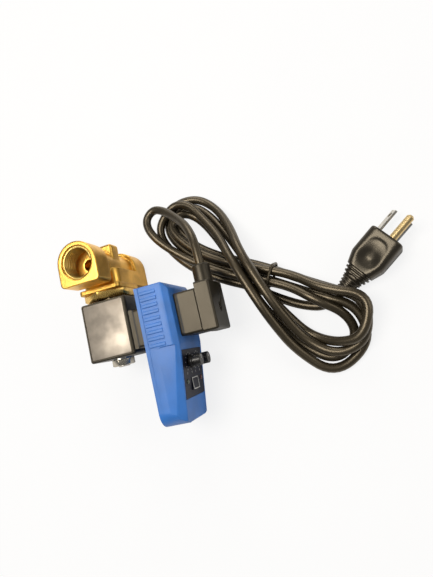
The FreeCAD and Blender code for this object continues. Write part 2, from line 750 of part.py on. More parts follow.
def plunger_spring():
    """Closed coils of wire between the pocket floor and the fixed core."""
    low = float(s.core_level - s.plunger_travel - s.pocket_depth + s.spring_wire / 2)
    high = float(s.core_level - s.spring_wire / 2)
    turns = 7
    helix = Part.makeHelix((high - low) / turns, high - low, float(s.spring_radius))
    helix.translate(Vector(0, 0, low))
    start = helix.Edges[0].valueAt(helix.Edges[0].FirstParameter)
    along_wire = helix.Edges[0].tangentAt(helix.Edges[0].FirstParameter)
    section = Part.Wire([Part.makeCircle(float(s.spring_wire) / 2, start, along_wire)])
    sweep = Part.BRepOffsetAPI.MakePipeShell(Part.Wire(helix.Edges))
    sweep.setFrenetMode(True)
    sweep.add(section)
    sweep.build()
    sweep.makeSolid()
    spring = doc.addObject("Part::Feature", "plunger_spring")
    spring.Shape = sweep.shape()
    keep("plunger_spring", spring)


# Coil
def coil_housing():
    b = Body("coil_housing")
    b.pad(b.sketch("XY", s.coil_low,
                   [rectangle(-s.coil_left, s.coil_right, -s.coil_half, s.coil_half)]),
          s.coil_high - s.coil_low)
    b.fillet([along("z", x=[-s.coil_left, s.coil_right], y=[s.coil_half, -s.coil_half]),
              along("x", y=[s.coil_half, -s.coil_half], z=[s.coil_low, s.coil_high]),
              along("y", x=[-s.coil_left, s.coil_right], z=[s.coil_low, s.coil_high])],
             s.coil_round)
    b.pad(b.sketch("YZ", s.coil_right - s.coil_round,
                   [rectangle(-s.base_half, s.base_half, s.base_low, s.base_high)]),
          s.base_proud + s.coil_round)
    blade_slots(b, base_face, s.blade_root, base_mid, 0.0)
    inside = s.coil_half - s.coil_wall
    b.pocket(b.sketch("XY", s.coil_low + s.coil_wall,
                      [rectangle(-inside, inside, -inside, inside)]),
             s.coil_high - s.coil_low - s.coil_wall * 2, reverse=True)
    b.pocket(b.sketch("XY", s.coil_high, [(0.0, 0.0, s.tube_radius + s.tube_clear)]))


def coil_yoke():
    b = Body("coil_yoke")
    inside = s.coil_half - s.coil_wall - s.fit_gap
    low = s.coil_low + s.coil_wall
    high = s.coil_high - s.coil_wall
    left = -inside
    b.pad(b.sketch("XZ", 0.0, [[
        (left, low), (inside, low), (inside, low + s.yoke_thick),
        (left + s.yoke_thick, low + s.yoke_thick), (left + s.yoke_thick, high - s.yoke_thick),
        (inside, high - s.yoke_thick), (inside, high), (left, high)]]),
        s.yoke_half * 2, symmetric=True)
    b.pocket(b.sketch("XY", high, [(0.0, 0.0, s.tube_radius + s.tube_clear)]))


def spool_levels():
    low = s.coil_low + s.coil_wall + s.yoke_thick
    high = s.coil_high - s.coil_wall - s.yoke_thick
    return low, high


def coil_bobbin():
    b = Body("coil_bobbin")
    low, high = spool_levels()
    bore = s.tube_radius + s.tube_clear
    tube = bore + s.spool_wall
    b.revolve(b.sketch("XZ", 0.0, [[
        (bore, low), (s.spool_flange, low), (s.spool_flange, low + s.spool_wall),
        (tube, low + s.spool_wall), (tube, high - s.spool_wall),
        (s.spool_flange, high - s.spool_wall), (s.spool_flange, high), (bore, high)]]), "Z")


def coil_winding():
    b = Body("coil_winding")
    low, high = spool_levels()
    tube = s.tube_radius + s.tube_clear + s.spool_wall
    b.revolve(b.sketch("XZ", 0.0, [rectangle(
        tube, s.spool_flange - s.winding_inset, low + s.spool_wall, high - s.spool_wall)]), "Z")


def blades(name, root, tip, middle):
    """Two phase blades across z and the earth blade across y, as separate solids."""
    flat = s.blade_thick / 2
    wide = s.blade_wide / 2
    earth = middle + s.blade_pitch
    return group(name, [
        box_between(name + "_phase_a", root, tip, s.blade_pitch - flat, s.blade_pitch + flat,
                    middle - wide, middle + wide),
        box_between(name + "_phase_b", root, tip, -s.blade_pitch - flat, -s.blade_pitch + flat,
                    middle - wide, middle + wide),
        box_between(name + "_earth", root, tip, -wide, wide, earth - flat, earth + flat)])


def blade_slots(body, level, depth, middle, clear, reverse=False):
    """Slots round the three blades, cut from a face across x."""
    flat = s.blade_thick / 2 + clear
    wide = s.blade_wide / 2 + clear
    earth = middle + s.blade_pitch
    body.pocket(body.sketch("YZ", level, [
        rectangle(s.blade_pitch - flat, s.blade_pitch + flat, middle - wide, middle + wide),
        rectangle(-s.blade_pitch - flat, -s.blade_pitch + flat, middle - wide, middle + wide),
        rectangle(-wide, wide, earth - flat, earth + flat)]), depth, reverse=reverse)


def flat_gasket(name, level, low, high, half):
    """A frame of rubber whose window clears the three blades."""
    b = Body(name)
    middle = (low + high) / 2
    window = s.blade_pitch + s.blade_thick / 2 + s.gasket_clear
    b.pad(b.sketch("YZ", level, [
        (-half, half, low, high, s.socket_corner),
        rectangle(-window, window, middle - window, middle + window)]), s.gasket_thick)


def coil_connector():
    root = base_face - s.blade_root
    tip = base_face + s.blade_reach
    blades("coil_terminals", root, tip, base_mid)
    flat_gasket("coil_gasket", base_face, s.base_low, s.base_high, s.base_half)
    b = Body("coil_socket")
    b.pad(b.sketch("YZ", socket_face, [(-s.base_half, s.base_half, s.base_low, s.base_high,
                                        s.socket_corner)]),
          s.case_back - socket_face)
    blade_slots(b, socket_face, s.blade_reach, base_mid, s.blade_clear, reverse=True)


def nut_and_washer():
    b = Body("lock_washer")
    b.pad(b.sketch("XY", s.coil_high, [
        (0.0, 0.0, s.washer_radius), (0.0, 0.0, s.stud_radius + s.thread_clear)]),
        s.washer_thick)
    b = Body("coil_nut")
    b.pad(b.sketch("XY", washer_top, [
        hexagon(s.nut_flats), (0.0, 0.0, s.stud_radius + s.thread_clear)]), s.nut_height)
    round_corners(b, s.nut_flats, nut_top, s.nut_chamfer)


# Timer case
def case_outline(wall, side):
    """Side profile of the case, moved in by a wall; the back stays open inside."""
    back = shell_back if side == "outer" else shell_back - s.case_wall
    ends = 0.0 if side == "outer" else s.end_wall
    low = s.case_low + ends
    high = s.case_high - ends
    start = s.slope_start
    return [
        (back, low), (s.case_front - s.lip_inset - wall, low),
        (s.case_front - wall, low + s.lip_length), (s.case_front - wall, start),
        (front_at(high) - wall, high), (back, high)]


def corner_loft(b):
    """Cut the front edge of one side, wider towards the far end, and mirror the cut."""
    stations = [
        (s.case_low - 1.0, s.case_front, s.edge_depth, s.edge_width),
        (s.slope_start, s.case_front, s.edge_depth, s.edge_width),
        (s.case_high + 1.0, front_at(s.case_high), s.edge_depth_end, s.edge_width_end)]
    sketches = []
    outside = s.case_half + 1.0
    for level, front, depth, width in stations:
        slope = width / depth
        sketches.append(b.sketch("XY", level, [[
            (front - depth - 1.0 / float(slope), outside),
            (front + 1.0, s.case_half - width - slope),
            (front + 1.0, outside)]]))
    loft = b.feature("SubtractiveLoft", sketches[0])
    loft.Sections = sketches[1:]
    loft.Ruled = True
    b.finish(loft)
    return loft


def timer_housing():
    b = Body("timer_housing")
    b.pad(b.sketch("XZ", 0.0, [case_outline(0.0, "outer")]), s.case_half * 2, symmetric=True)
    b.fillet(along("x", y=[s.case_half, -s.case_half], z=s.case_high), s.end_round)
    loft = corner_loft(b)
    b.mirror("XZ", [loft])
    facet_end = s.case_front + 1.0
    facet = b.pocket(b.sketch("XY", s.slope_start, [[
        (s.facet_start, s.case_half), (facet_end, s.case_half - s.facet_depth),
        (facet_end, s.case_half + 0.5), (s.facet_start, s.case_half + 0.5)]]),
        s.case_high - s.slope_start, reverse=True)
    b.mirror("XZ", [facet])
    rib = b.pad(b.sketch("XZ", 0.0, [rectangle(
        s.rib_left, s.rib_right, s.rib_first, s.rib_first + s.rib_wide)]),
        (s.case_half + s.rib_proud) * 2, symmetric=True)
    b.row("Z", rib, s.rib_pitch * (s.rib_count - 1), s.rib_count)
    b.pocket(b.sketch("XZ", 0.0, [case_outline(s.case_wall, "inner")]),
             (s.case_half - s.side_wall) * 2, symmetric=True)
    posts(b)
    openings(b)


def post_places():
    side = s.case_half - s.side_wall - s.post_inset + s.post_radius / 2
    low = s.case_low + s.end_wall + s.post_inset - s.post_radius / 2
    high = s.case_high - s.end_round - s.end_wall
    return [(y, z) for z in (low, high) for y in (side, -side)]


def posts(b):
    """Screw posts in the corners, from the back cover to the front wall."""
    for y, z in post_places():
        reach = front_at(z) if float(z) > float(s.slope_start) else s.case_front
        b.pad(b.sketch("YZ", shell_back, [(y, z, s.post_radius)]),
              reach - shell_back - s.case_wall / 2)
        b.pocket(b.sketch("YZ", shell_back, [(y, z, s.screw_radius)]),
                 s.screw_length, reverse=True)


def openings(b):
    """Openings of the front: inlet, knobs, button and lamps, and the panel's recess."""
    inner = s.inlet_half - s.inlet_inset
    b.pocket(b.sketch("YZ", s.case_front, [rectangle(
        -inner, inner, s.inlet_low + s.inlet_inset, s.inlet_high - s.inlet_inset)]),
        s.case_wall)
    b.pocket(b.sketch("XZ", 0.0, [panel_side(0.0)]), s.panel_half * 2, symmetric=True)
    for y, z, radius in round_openings():
        b.pocket(b.sketch("YZ", s.case_front, [(y, z, radius)]),
                 s.slope_drop + s.case_wall)
    b.pocket(b.sketch("YZ", s.case_front, [button_window()]), s.slope_drop + s.case_wall)


def panel_side(proud):
    """Side profile of the panel: a strip along the sloping front."""
    top = s.panel_top
    bottom = s.panel_bottom
    thick = s.panel_thick
    return [(front_at(top) - thick, top), (front_at(top) + proud, top),
            (front_at(bottom) + proud, bottom), (front_at(bottom) - thick, bottom)]


def round_openings():
    knob_hole = s.spindle_radius + s.case_wall / 2
    lamp_hole = s.lamp_radius + s.button_clear
    return [(s.knob_spread, s.knob_level, knob_hole), (-s.knob_spread, s.knob_level, knob_hole),
            (s.lamp_spread, s.lamp_level, lamp_hole), (-s.lamp_spread, s.lamp_level, lamp_hole)]


def button_window():
    y = s.button_half_y + s.button_clear
    z = s.button_half_z + s.button_clear
    return rectangle(-y, y, s.button_level - z, s.button_level + z)


def control_panel():
    b = Body("control_panel")
    inset = s.button_clear
    b.pad(b.sketch("XZ", 0.0, [panel_side(0.0)]), (s.panel_half - inset) * 2, symmetric=True)
    for y, z, radius in round_openings():
        b.pocket(b.sketch("YZ", s.case_front, [(y, z, radius)]), s.slope_drop + s.case_wall)
    b.pocket(b.sketch("YZ", s.case_front, [button_window()]), s.slope_drop + s.case_wall)


def timer_back_cover():
    b = Body("timer_back_cover")
    b.pad(b.sketch("YZ", s.case_back, [
        rectangle(-s.case_half, s.case_half, s.case_low, s.case_high)]), s.cover_thick)
    b.fillet(along("x", y=[s.case_half, -s.case_half], z=s.case_high), s.end_round)
    inside = s.case_half - s.side_wall - s.fit_gap
    rim = s.post_radius * 2 + s.post_inset
    b.pad(b.sketch("YZ", shell_back, [
        rectangle(-inside + rim, inside - rim, s.case_low + s.end_wall + s.fit_gap,
                  s.case_high - s.end_wall - s.fit_gap - rim)]), s.cover_thick / 2)
    b.pad(b.sketch("YZ", shell_back, [
        (side * s.rest_spread, level, s.rest_radius) for side in (1, -1)
        for level in (s.board_low + s.rest_inset, s.board_high - s.rest_inset)]),
        s.board_level - shell_back)
    for y, z in post_places():
        b.pocket(b.sketch("YZ", s.case_back, [(y, z, s.screw_radius + s.screw_clear)]),
                 s.cover_thick, reverse=True)
        b.pocket(b.sketch("YZ", s.case_back, [(y, z, s.screw_head + s.screw_clear)]),
                 s.head_height, reverse=True)


def case_screws():
    things = []
    for number, (y, z) in enumerate(post_places()):
        name = "case_screw_%d" % number
        head = rod_between(name + "_head", "x", s.case_back, s.case_back + s.head_height,
                           s.screw_head, y, z)
        shank = rod_between(name + "_shank", "x", s.case_back,
                            s.case_back + s.cover_thick + s.screw_length, s.screw_radius, y, z)
        things.append(fused(name, [head, shank]))
    group("case_screws", things)


board_face = s.board_level + s.board_thick


def circuit_board():
    b = Body("circuit_board")
    half = s.case_half - s.board_side
    b.pad(b.sketch("YZ", s.board_level,
                   [rectangle(-half, half, s.board_low, s.board_high)]), s.board_thick)


def board_parts():
    """Potentiometers, test switch, lamps and power parts that stand on the board."""
    for name, side in (("interval_potentiometer", 1), ("duration_potentiometer", -1)):
        b = Body(name)
        y = s.knob_spread * side
        b.pad(b.sketch("YZ", board_face, [
            rectangle(y - s.pot_half, y + s.pot_half, s.knob_level - s.pot_half,
                      s.knob_level + s.pot_half),
            (y, s.knob_level, s.spindle_radius + s.spindle_clear)]), s.pot_height)
    b = Body("test_switch")
    b.pad(b.sketch("YZ", board_face, [rectangle(
        -s.switch_half, s.switch_half, s.button_level - s.switch_half,
        s.button_level + s.switch_half)]), s.switch_height)
    for name, side in (("power_lamp", 1), ("valve_lamp", -1)):
        b = Body(name)
        y = s.lamp_spread * side
        end = front_at(s.lamp_level) + s.lamp_radius / 2
        b.pad(b.sketch("YZ", board_face, [(y, s.lamp_level, s.lamp_radius)]), end - board_face)
        b.fillet(ring(s.lamp_radius, x=end), s.lamp_radius * 0.6)


# Knobs and button
def knob(name, side):
    b = Body(name)
    y = s.knob_spread * side
    base = front_at(s.knob_level) + s.knob_lift
    root = board_face + s.fit_gap
    b.pad(b.sketch("YZ", base, [(y, s.knob_level, s.knob_radius)]), s.knob_tip - base)
    b.pad(b.sketch("YZ", base, [(y, s.knob_level, s.knob_radius + s.knob_skirt)]),
          s.skirt_length)
    b.pad(b.sketch("YZ", root, [(y, s.knob_level, s.spindle_radius)]), base - root)
    b.fillet(ring(s.knob_radius, x=s.knob_tip), 0.5)
    slot = s.slot_wide / 2
    b.pocket(b.sketch("YZ", s.knob_tip, [rectangle(
        y - slot, y + slot, s.knob_level - s.knob_radius - 1.0, s.knob_level)]), s.slot_deep)


def test_button():
    b = Body("test_button")
    face = front_at(s.button_level) + s.button_proud
    inside = front_at(s.button_level + s.button_half_z) - s.case_wall - s.button_travel
    b.pad(b.sketch("YZ", inside, [rectangle(
        -s.button_half_y, s.button_half_y, s.button_level - s.button_half_z,
        s.button_level + s.button_half_z)]), face - inside)
    wide = s.button_half_y + s.button_flange
    tall = s.button_half_z + s.button_flange
    b.pad(b.sketch("YZ", inside, [rectangle(
        -wide, wide, s.button_level - tall, s.button_level + tall)]), s.button_rim,
        reverse=True)
    b.fillet([along("x"), along("y", x=face), along("z", x=face)], 0.5)
    stem = s.switch_half / 2
    root = board_face + s.switch_height + s.button_travel
    b.pad(b.sketch("YZ", root, [(0.0, s.button_level, stem)]), inside - root - s.button_rim / 2)


# Power inlet and cord plug
def inlet_base():
    b = Body("inlet_base")
    b.pad(b.sketch("YZ", s.case_front, [(
        -s.inlet_half, s.inlet_half, s.inlet_low, s.inlet_high, s.socket_corner)]),
        s.inlet_thick)
    inner = s.inlet_half - s.inlet_inset - s.button_clear
    low = s.inlet_low + s.inlet_inset + s.button_clear
    high = s.inlet_high - s.inlet_inset - s.button_clear
    b.pad(b.sketch("YZ", s.case_front, [rectangle(-inner, inner, low, high)]),
          s.inlet_depth, reverse=True)
    b.pocket(b.sketch("YZ", flange_out, [(0.0, inlet_mid, s.plug_screw_radius)]))
    blade_slots(b, flange_out, s.blade_root, inlet_mid, 0.0)
    blades("inlet_terminals", flange_out - s.blade_root, flange_out + s.blade_reach, inlet_mid)
    flat_gasket("plug_gasket", flange_out, s.inlet_low, s.inlet_high, s.inlet_half)


def plug_hood():
    b = Body("plug_hood")
    b.pad(b.sketch("YZ", hood_face, [rectangle(
        -s.inlet_half, s.inlet_half, s.inlet_low, s.inlet_high)]), s.hood_step - hood_face)
    wide = s.inlet_half + s.hood_proud
    low = s.inlet_low - s.hood_rise
    high = s.inlet_high + s.hood_proud
    b.pad(b.sketch("YZ", s.hood_step, [rectangle(-wide, wide, low, high)]),
          s.hood_end - s.hood_step)
    b.fillet([along("x", y=[wide, -wide, s.inlet_half, -s.inlet_half],
                    z=[low, high, s.inlet_low, s.inlet_high]),
              along("y", x=s.hood_end, z=[low, high]), along("z", x=s.hood_end, y=[wide, -wide])],
             s.hood_round)
    b.pad(b.sketch("XY", s.neck_end, [(s.neck_axis, 0.0, s.neck_radius)]),
          inlet_mid - s.neck_end)
    b.fillet(ring(s.neck_radius, z=s.neck_end), s.neck_round)
    inside = s.inlet_half - s.hood_wall
    b.pocket(b.sketch("YZ", hood_face, [rectangle(
        -inside, inside, s.inlet_low + s.hood_wall, s.inlet_high - s.hood_wall)]),
        s.hood_cavity, reverse=True)
    b.pocket(b.sketch("YZ", s.hood_end, [
        (0.0, inlet_mid, s.plug_screw_radius + s.screw_clear)]))
    b.pocket(b.sketch("YZ", s.hood_end, [
        (0.0, inlet_mid, s.plug_screw_head + s.screw_clear)]), s.plug_screw_sunk)


def contact_block():
    b = Body("contact_block")
    inside = s.inlet_half - s.hood_wall - s.fit_gap
    b.pad(b.sketch("YZ", hood_face + s.fit_gap, [rectangle(
        -inside, inside, s.inlet_low + s.hood_wall + s.fit_gap,
        s.inlet_high - s.hood_wall - s.fit_gap)]), s.hood_cavity - s.fit_gap * 2)
    blade_slots(b, hood_face + s.fit_gap, s.blade_reach, inlet_mid, s.blade_clear,
                reverse=True)
    b.pocket(b.sketch("YZ", s.hood_end, [
        (0.0, inlet_mid, s.plug_screw_radius + s.screw_clear)]))


def plug_screw():
    b = Body("plug_screw")
    under = s.hood_end - s.plug_screw_sunk
    b.pad(b.sketch("YZ", under, [(0.0, inlet_mid, s.plug_screw_head)]), s.head_height)
    b.pad(b.sketch("YZ", s.case_front - s.inlet_depth / 2,
                   [(0.0, inlet_mid, s.plug_screw_radius - s.core_clear)]),
          under - s.case_front + s.inlet_depth / 2)
    slot = s.slot_wide / 2
    b.pocket(b.sketch("YZ", under + s.head_height, [rectangle(
        -slot, slot, inlet_mid - s.plug_screw_head - 1.0,
        inlet_mid + s.plug_screw_head + 1.0)]), s.slot_deep)


# Mains plug, drawn with its joint to the relief at the origin and its pins along x
PLUG = {}


def mains_plug():
    b = Body("mains_plug")
    sections = [
        (0.0, s.mains_root, s.mains_root),
        (s.mains_shoulder, s.mains_mid_half, s.mains_mid_depth),
        (s.mains_length, s.mains_half, s.mains_depth)]
    sketches = [b.sketch("YZ", level, [(-wide, wide, -deep, deep, s.mains_corner)])
                for level, wide, deep in sections]
    loft = b.feature("AdditiveLoft", sketches[0])
    loft.Sections = sketches[1:]
    loft.Ruled = True
    b.finish(loft)
    for side in (1, -1):
        b.pocket(b.sketch("XY", (s.mains_depth - s.recess_deep) * side, [(
            s.recess_low, s.recess_high, -s.recess_half, s.recess_half,
            s.recess_half - 0.5)]), s.mains_depth, reverse=side > 0)
    flat = s.contact_thick / 2
    wide = s.contact_wide / 2
    root = s.mains_length - s.pin_root
    roll = Rotation(Vector(0, 0, 1), float(s.contact_roll))
    b.pocket(b.sketch("YZ", s.mains_length, [
        rectangle(s.contact_offset - wide, s.contact_offset + wide,
                  side * s.contact_spread - flat, side * s.contact_spread + flat)
        for side in (1, -1)] + [(-s.pin_offset, 0.0, s.pin_neck)], roll), s.pin_root)
    PLUG["mains_plug"] = b.body
    tip = s.mains_length + s.contact_length
    PLUG["mains_blades"] = group("mains_blades", [
        box_between("mains_blade_%d" % number, root, tip, s.contact_offset - wide,
                    s.contact_offset + wide, side * s.contact_spread - flat,
                    side * s.contact_spread + flat)
        for number, side in enumerate((1, -1))])
    PLUG["mains_blades"].Placement = Placement(
        Vector(), Rotation(Vector(1, 0, 0), float(s.contact_roll)))
    b = Body("ground_pin")
    shoulder = s.mains_length + s.pin_shoulder
    b.pad(b.sketch("YZ", root, [(-s.pin_offset, 0.0, s.pin_neck)], roll), shoulder - root)
    b.pad(b.sketch("YZ", shoulder, [(-s.pin_offset, 0.0, s.pin_radius)], roll),
          s.pin_length - s.pin_shoulder)
    b.chamfer(ring(s.pin_radius, x=s.mains_length + s.pin_length), 1.2)
    PLUG["ground_pin"] = b.body
    mains_relief()


def mains_relief():
    b = Body("mains_relief")
    b.revolve(b.sketch("XZ", 0.0, [[
        (0.0, 0.0), (0.0, s.relief_root), (-s.relief_length, s.relief_tip),
        (-s.relief_length, 0.0)]]), "X")
    rim = s.relief_root + 1.0
    floor = s.relief_tip - s.relief_groove / 2
    half = s.relief_groove / 2
    for number in range(3):
        middle = -s.relief_pitch * number - s.relief_groove * 0.6
        b.revolve(b.sketch("XZ", 0.0, [[
            (middle - half, floor), (middle + half, floor), (middle + half, rim),
            (middle - half, rim)]]), "X", cut=True)
    PLUG["mains_relief"] = b.body


def plug_place():
    """The plug rests on its flat lower side, pins a little up, turned on the table."""
    fall = float(s.mains_depth - s.mains_mid_depth)
    pitch = math.atan2(fall, float(s.mains_length - s.mains_shoulder))
    rise = float(s.mains_depth) * math.cos(pitch) - float(s.mains_length) * math.sin(pitch)
    turn = Rotation(Vector(0, 0, 1), float(s.plug_turn)).multiply(
        Rotation(Vector(0, 1, 0), -math.degrees(pitch)))
    return Placement(Vector(float(s.plug_x), float(s.plug_y), rise), turn)


for make in (valve_body, bonnet, bonnet_o_ring, armature_tube, fixed_core, shading_ring, plunger,
             plunger_seal, plunger_spring, coil_housing, coil_yoke, coil_bobbin, coil_winding,
             coil_connector, nut_and_washer, timer_housing, control_panel, timer_back_cover,
             case_screws, circuit_board, board_parts, test_button, inlet_base, plug_hood,
             contact_block, plug_screw):
    make()
knob("interval_knob", 1)
knob("duration_knob", -1)


# Lay the valve on its side: the rear hub and the far end of the case touch the table
def lay_down():
    """Placement from the upright frame to the table, origin under the middle."""
    drop = float(s.port_half - s.case_half)
    run = float(s.case_high - s.end_round - s.hub_flat)
    tilt = math.degrees(math.atan2(drop, run))
    turn = Rotation(Vector(1, 0, 0), 90 + tilt)
    rigid = [thing.Shape.copy() for thing in PIECES.values()]
    for shape in rigid:
        shape.Placement = Placement(Vector(), turn).multiply(shape.Placement)
    box = Part.makeCompound(rigid).optimalBoundingBox(False, False)
    shift = Vector(-(box.XMin + box.XMax) / 2, -(box.YMin + box.YMax) / 2, -box.ZMin)
    print("tilt %.4f shift %.4f %.4f %.4f size %.2f %.2f %.2f" % (
        tilt, shift.x, shift.y, shift.z, box.XLength, box.YLength, box.ZLength))
    return Placement(shift, turn)


table = lay_down()
for thing in PIECES.values():
    thing.Placement = table.multiply(thing.Placement)
mains_plug()
plug_on_table = plug_place()
for thing in PLUG.values():
    thing.Placement = plug_on_table.multiply(thing.Placement)
doc.recompute()


# Cord: a figure-eight hank of four loops on the table. Stations go once round the eight,
# from the tip of the left lobe: x and y on the table, and the direction of travel
STATIONS = [
    (19.0, 89.5, (-0.88, -0.47)), (8.5, 73.0, (0.06, -1.0)), (23.0, 50.0, (0.70, -0.72)),
    (46.0, 33.0, (0.86, -0.50)), (68.0, 21.5, (0.90, -0.43)), (90.0, 11.0, (0.86, -0.50)),
    (108.0, -2.0, (0.72, -0.69)), (121.0, -17.0, (0.35, -0.94)),
    (120.0, -36.0, (-0.60, -0.80)), (106.0, -44.0, (-0.93, 0.36)),
    (88.0, -30.0, (-0.60, 0.80)), (78.5, -14.0, (-0.48, 0.88)), (71.0, 2.0, (-0.40, 0.92)),
    (60.0, 33.0, (-0.36, 0.93)), (52.0, 56.0, (-0.40, 0.92)), (43.0, 78.0, (-0.55, 0.83)),
    (32.0, 89.5, (-0.90, 0.43))]
# Each loop's place at a station: how far left of the middle of the bundle, and how high
SLOTS = {
    0: {2: (9.0, 9.4), 3: (2.2, 3.0), 4: (-4.6, 3.0), 5: (-0.5, 10.8)},
    1: {2: (5.6, 10.4), 3: (8.6, 3.0), 4: (0.7, 3.0), 5: (-5.8, 8.4)},
    2: {1: (-3.9, 9.0), 2: (3.9, 9.0), 3: (7.8, 3.0), 4: (0.0, 3.0), 5: (-7.8, 3.0)},
    3: {1: (-3.9, 10.6), 2: (3.9, 10.5), 3: (7.8, 4.8), 4: (0.0, 4.8), 5: (-7.8, 4.8)},
    4: {1: (-3.9, 11.6), 2: (3.9, 11.8), 3: (7.8, 5.5), 4: (0.0, 5.5), 5: (-7.8, 5.5)},
    5: {1: (-4.1, 13.2), 2: (3.6, 12.9), 3: (3.9, 5.3), 4: (-3.2, 5.1)},
    6: {1: (-7.6, 18.4), 2: (3.8, 22.0), 3: (3.3, 13.9), 4: (-3.2, 12.0)},
    7: {1: (-9.6, 9.5), 2: (7.5, 21.0), 3: (4.9, 14.0), 4: (-1.4, 9.8)},
    8: {1: (-3.8, 3.0), 2: (0.2, 18.0), 3: (2.5, 11.0), 4: (4.6, 3.0)},
    9: {1: (2.0, 3.0), 2: (-9.0, 11.7), 3: (-1.3, 9.8), 4: (10.5, 3.0)},
    10: {1: (2.1, 3.0), 2: (-6.4, 3.0), 3: (-2.1, 9.4), 4: (6.6, 9.4)},
    11: {1: (2.8, 9.8), 2: (-4.9, 9.8), 3: (-2.9, 18.3), 4: (5.0, 18.3)},
    12: {1: (3.6, 18.4), 2: (-3.6, 18.4), 3: (-3.6, 25.8), 4: (3.6, 25.8)},
    13: {1: (3.6, 18.1), 2: (-3.6, 18.1), 3: (-3.6, 25.5), 4: (3.6, 25.5)},
    14: {1: (5.4, 7.0), 2: (-1.6, 7.0), 3: (-6.6, 13.4), 4: (3.2, 15.4)},
    15: {1: (7.6, 4.0), 2: (0.6, 3.0), 3: (-6.5, 3.0), 4: (6.0, 11.5)},
    16: {1: (8.6, 6.0), 2: (1.2, 3.0), 3: (-5.6, 3.0), 4: (3.2, 12.4)}}
LOOPS = 4
# The first bend comes down from the valve and lies over the others
FIRST_BEND = [(3.0, 90.0, 17.6), (-6.0, 82.0, 16.8), (1.0, 66.0, 15.6)]


def unit(vector):
    made = Vector(vector)
    made.normalize()
    return made


def slot_point(station, loop):
    x, y, heading = STATIONS[station]
    ahead = unit(Vector(heading[0], heading[1], 0))
    lane, height = SLOTS[station][loop]
    return Vector(x - ahead.y * lane, y + ahead.x * lane, height)


def hank_points():
    """Middle points of the wound cord, from the first bend to the last pass of the waist."""
    points = [Vector(*p) for p in FIRST_BEND]
    for loop in range(1, LOOPS + 1):
        first = 2 if loop == 1 else 0
        points += [slot_point(station, loop) for station in range(first, len(STATIONS))]
    return points + [slot_point(station, LOOPS + 1) for station in range(4)]


def tangents(points, first, last):
    """Travel directions at the points, level wherever the height turns or rests."""
    found = [unit(first)]
    for before, here, after in zip(points, points[1:], points[2:]):
        back = here - before
        ahead = after - here
        mixed = back * (ahead.Length / back.Length) + ahead * (back.Length / ahead.Length)
        if back.z * ahead.z <= 0 or min(abs(back.z), abs(ahead.z)) < 0.2:
            mixed.z = 0
        found.append(unit(mixed))
    return found + [unit(last)]


def biarc(start, ahead, end, behind):
    """Point where two arcs meet that leave start along ahead and reach end along behind."""
    span = end - start
    both = ahead + behind
    bend = 2 * (1 - ahead.dot(behind))
    reach = span.dot(both)
    if bend < 1e-9:
        arm = span.dot(span) / (2 * reach)
    else:
        arm = (math.sqrt(reach * reach + bend * span.dot(span)) - reach) / bend
    return (start + end + (ahead - behind) * arm) / 2


def arc_through(start, ahead, end):
    """Edge that leaves start along ahead and reaches end."""
    chord = end - start
    side = chord - ahead * chord.dot(ahead)
    if side.Length < 1e-6 * chord.Length:
        return Part.LineSegment(start, end).toShape(), None
    normal = unit(side)
    radius = chord.dot(chord) / (2 * chord.dot(normal))
    centre = start + normal * radius
    towards = unit((start + end) / 2 - centre)
    return Part.Arc(start, centre + towards * radius, end).toShape(), radius


def wound_edges(points, first, last):
    ways = tangents(points, first, last)
    edges = []
    radii = []
    for i in range(len(points) - 1):
        meet = biarc(points[i], ways[i], points[i + 1], ways[i + 1])
        half = unit(meet - points[i])
        turned = half * (2 * half.dot(ways[i])) - ways[i]
        for start, way, end in ((points[i], ways[i], meet), (meet, turned, points[i + 1])):
            edge, radius = arc_through(start, way, end)
            edges.append(edge)
            if radius:
                radii.append(radius)
    return edges, min(radii)


def free_edges(points):
    """Straight runs with a tangent arc at each inner point."""
    edges = []
    radii = []
    start = points[0]
    for before, here, after in zip(points, points[1:], points[2:]):
        back = before - here
        ahead = after - here
        half = (math.pi - back.getAngle(ahead)) / 2
        trim = 0.45 * min(back.Length, ahead.Length)
        radius = trim / math.tan(half)
        radii.append(radius)
        arc_start = here + unit(back) * trim
        arc_end = here + unit(ahead) * trim
        edges.append(Part.LineSegment(start, arc_start).toShape())
        edges.append(arc_through(arc_start, unit(here - before), arc_end)[0])
        start = arc_end
    edges.append(Part.LineSegment(start, points[-1]).toShape())
    return edges, min(radii)


def tube(name, edges, radius, closed=False):
    """A round cord along the edges."""
    spine = Part.Wire(edges)
    start = edges[0].valueAt(edges[0].FirstParameter)
    way = edges[0].tangentAt(edges[0].FirstParameter)
    section = Part.Wire([Part.makeCircle(radius, start, way)])
    sweep = Part.BRepOffsetAPI.MakePipeShell(spine)
    sweep.add(section)
    sweep.build()
    sweep.makeSolid()
    solid = sweep.shape()
    expected = spine.Length * math.pi * radius ** 2
    print("%s length %.1f volume %.1f of %.1f" % (name, spine.Length, solid.Volume, expected))
    cord = doc.addObject("Part::Feature", name)
    cord.Shape = solid
    return keep(name, cord)


def strands_at(points, middle, ahead, reach):
    """Places to the side and in height where the wound cord passes an upright plane."""
    side = Vector(-ahead.y, ahead.x, 0)
    found = []
    for before, after in zip(points, points[1:]):
        low = (before - middle).dot(ahead)
        high = (after - middle).dot(ahead)
        if low * high > 0 or low == high:
            continue
        spot = before + (after - before) * (low / (low - high))
        if abs((spot - middle).dot(side)) < reach:
            found.append(((spot - middle).dot(side), spot.z))
    return found


def outline_of(spots):
    """Outermost of the spots, once round from the lowest, left turns only."""
    ordered = sorted(set(spots))
    halves = []
    for run in (ordered, ordered[::-1]):
        half = []
        for spot in run:
            while len(half) > 1:
                (ax, az), (bx, bz) = half[-2:]
                if (bx - ax) * (spot[1] - az) > (bz - az) * (spot[0] - ax):
                    break
                half.pop()
            half.append(spot)
        halves += half[:-1]
    return halves


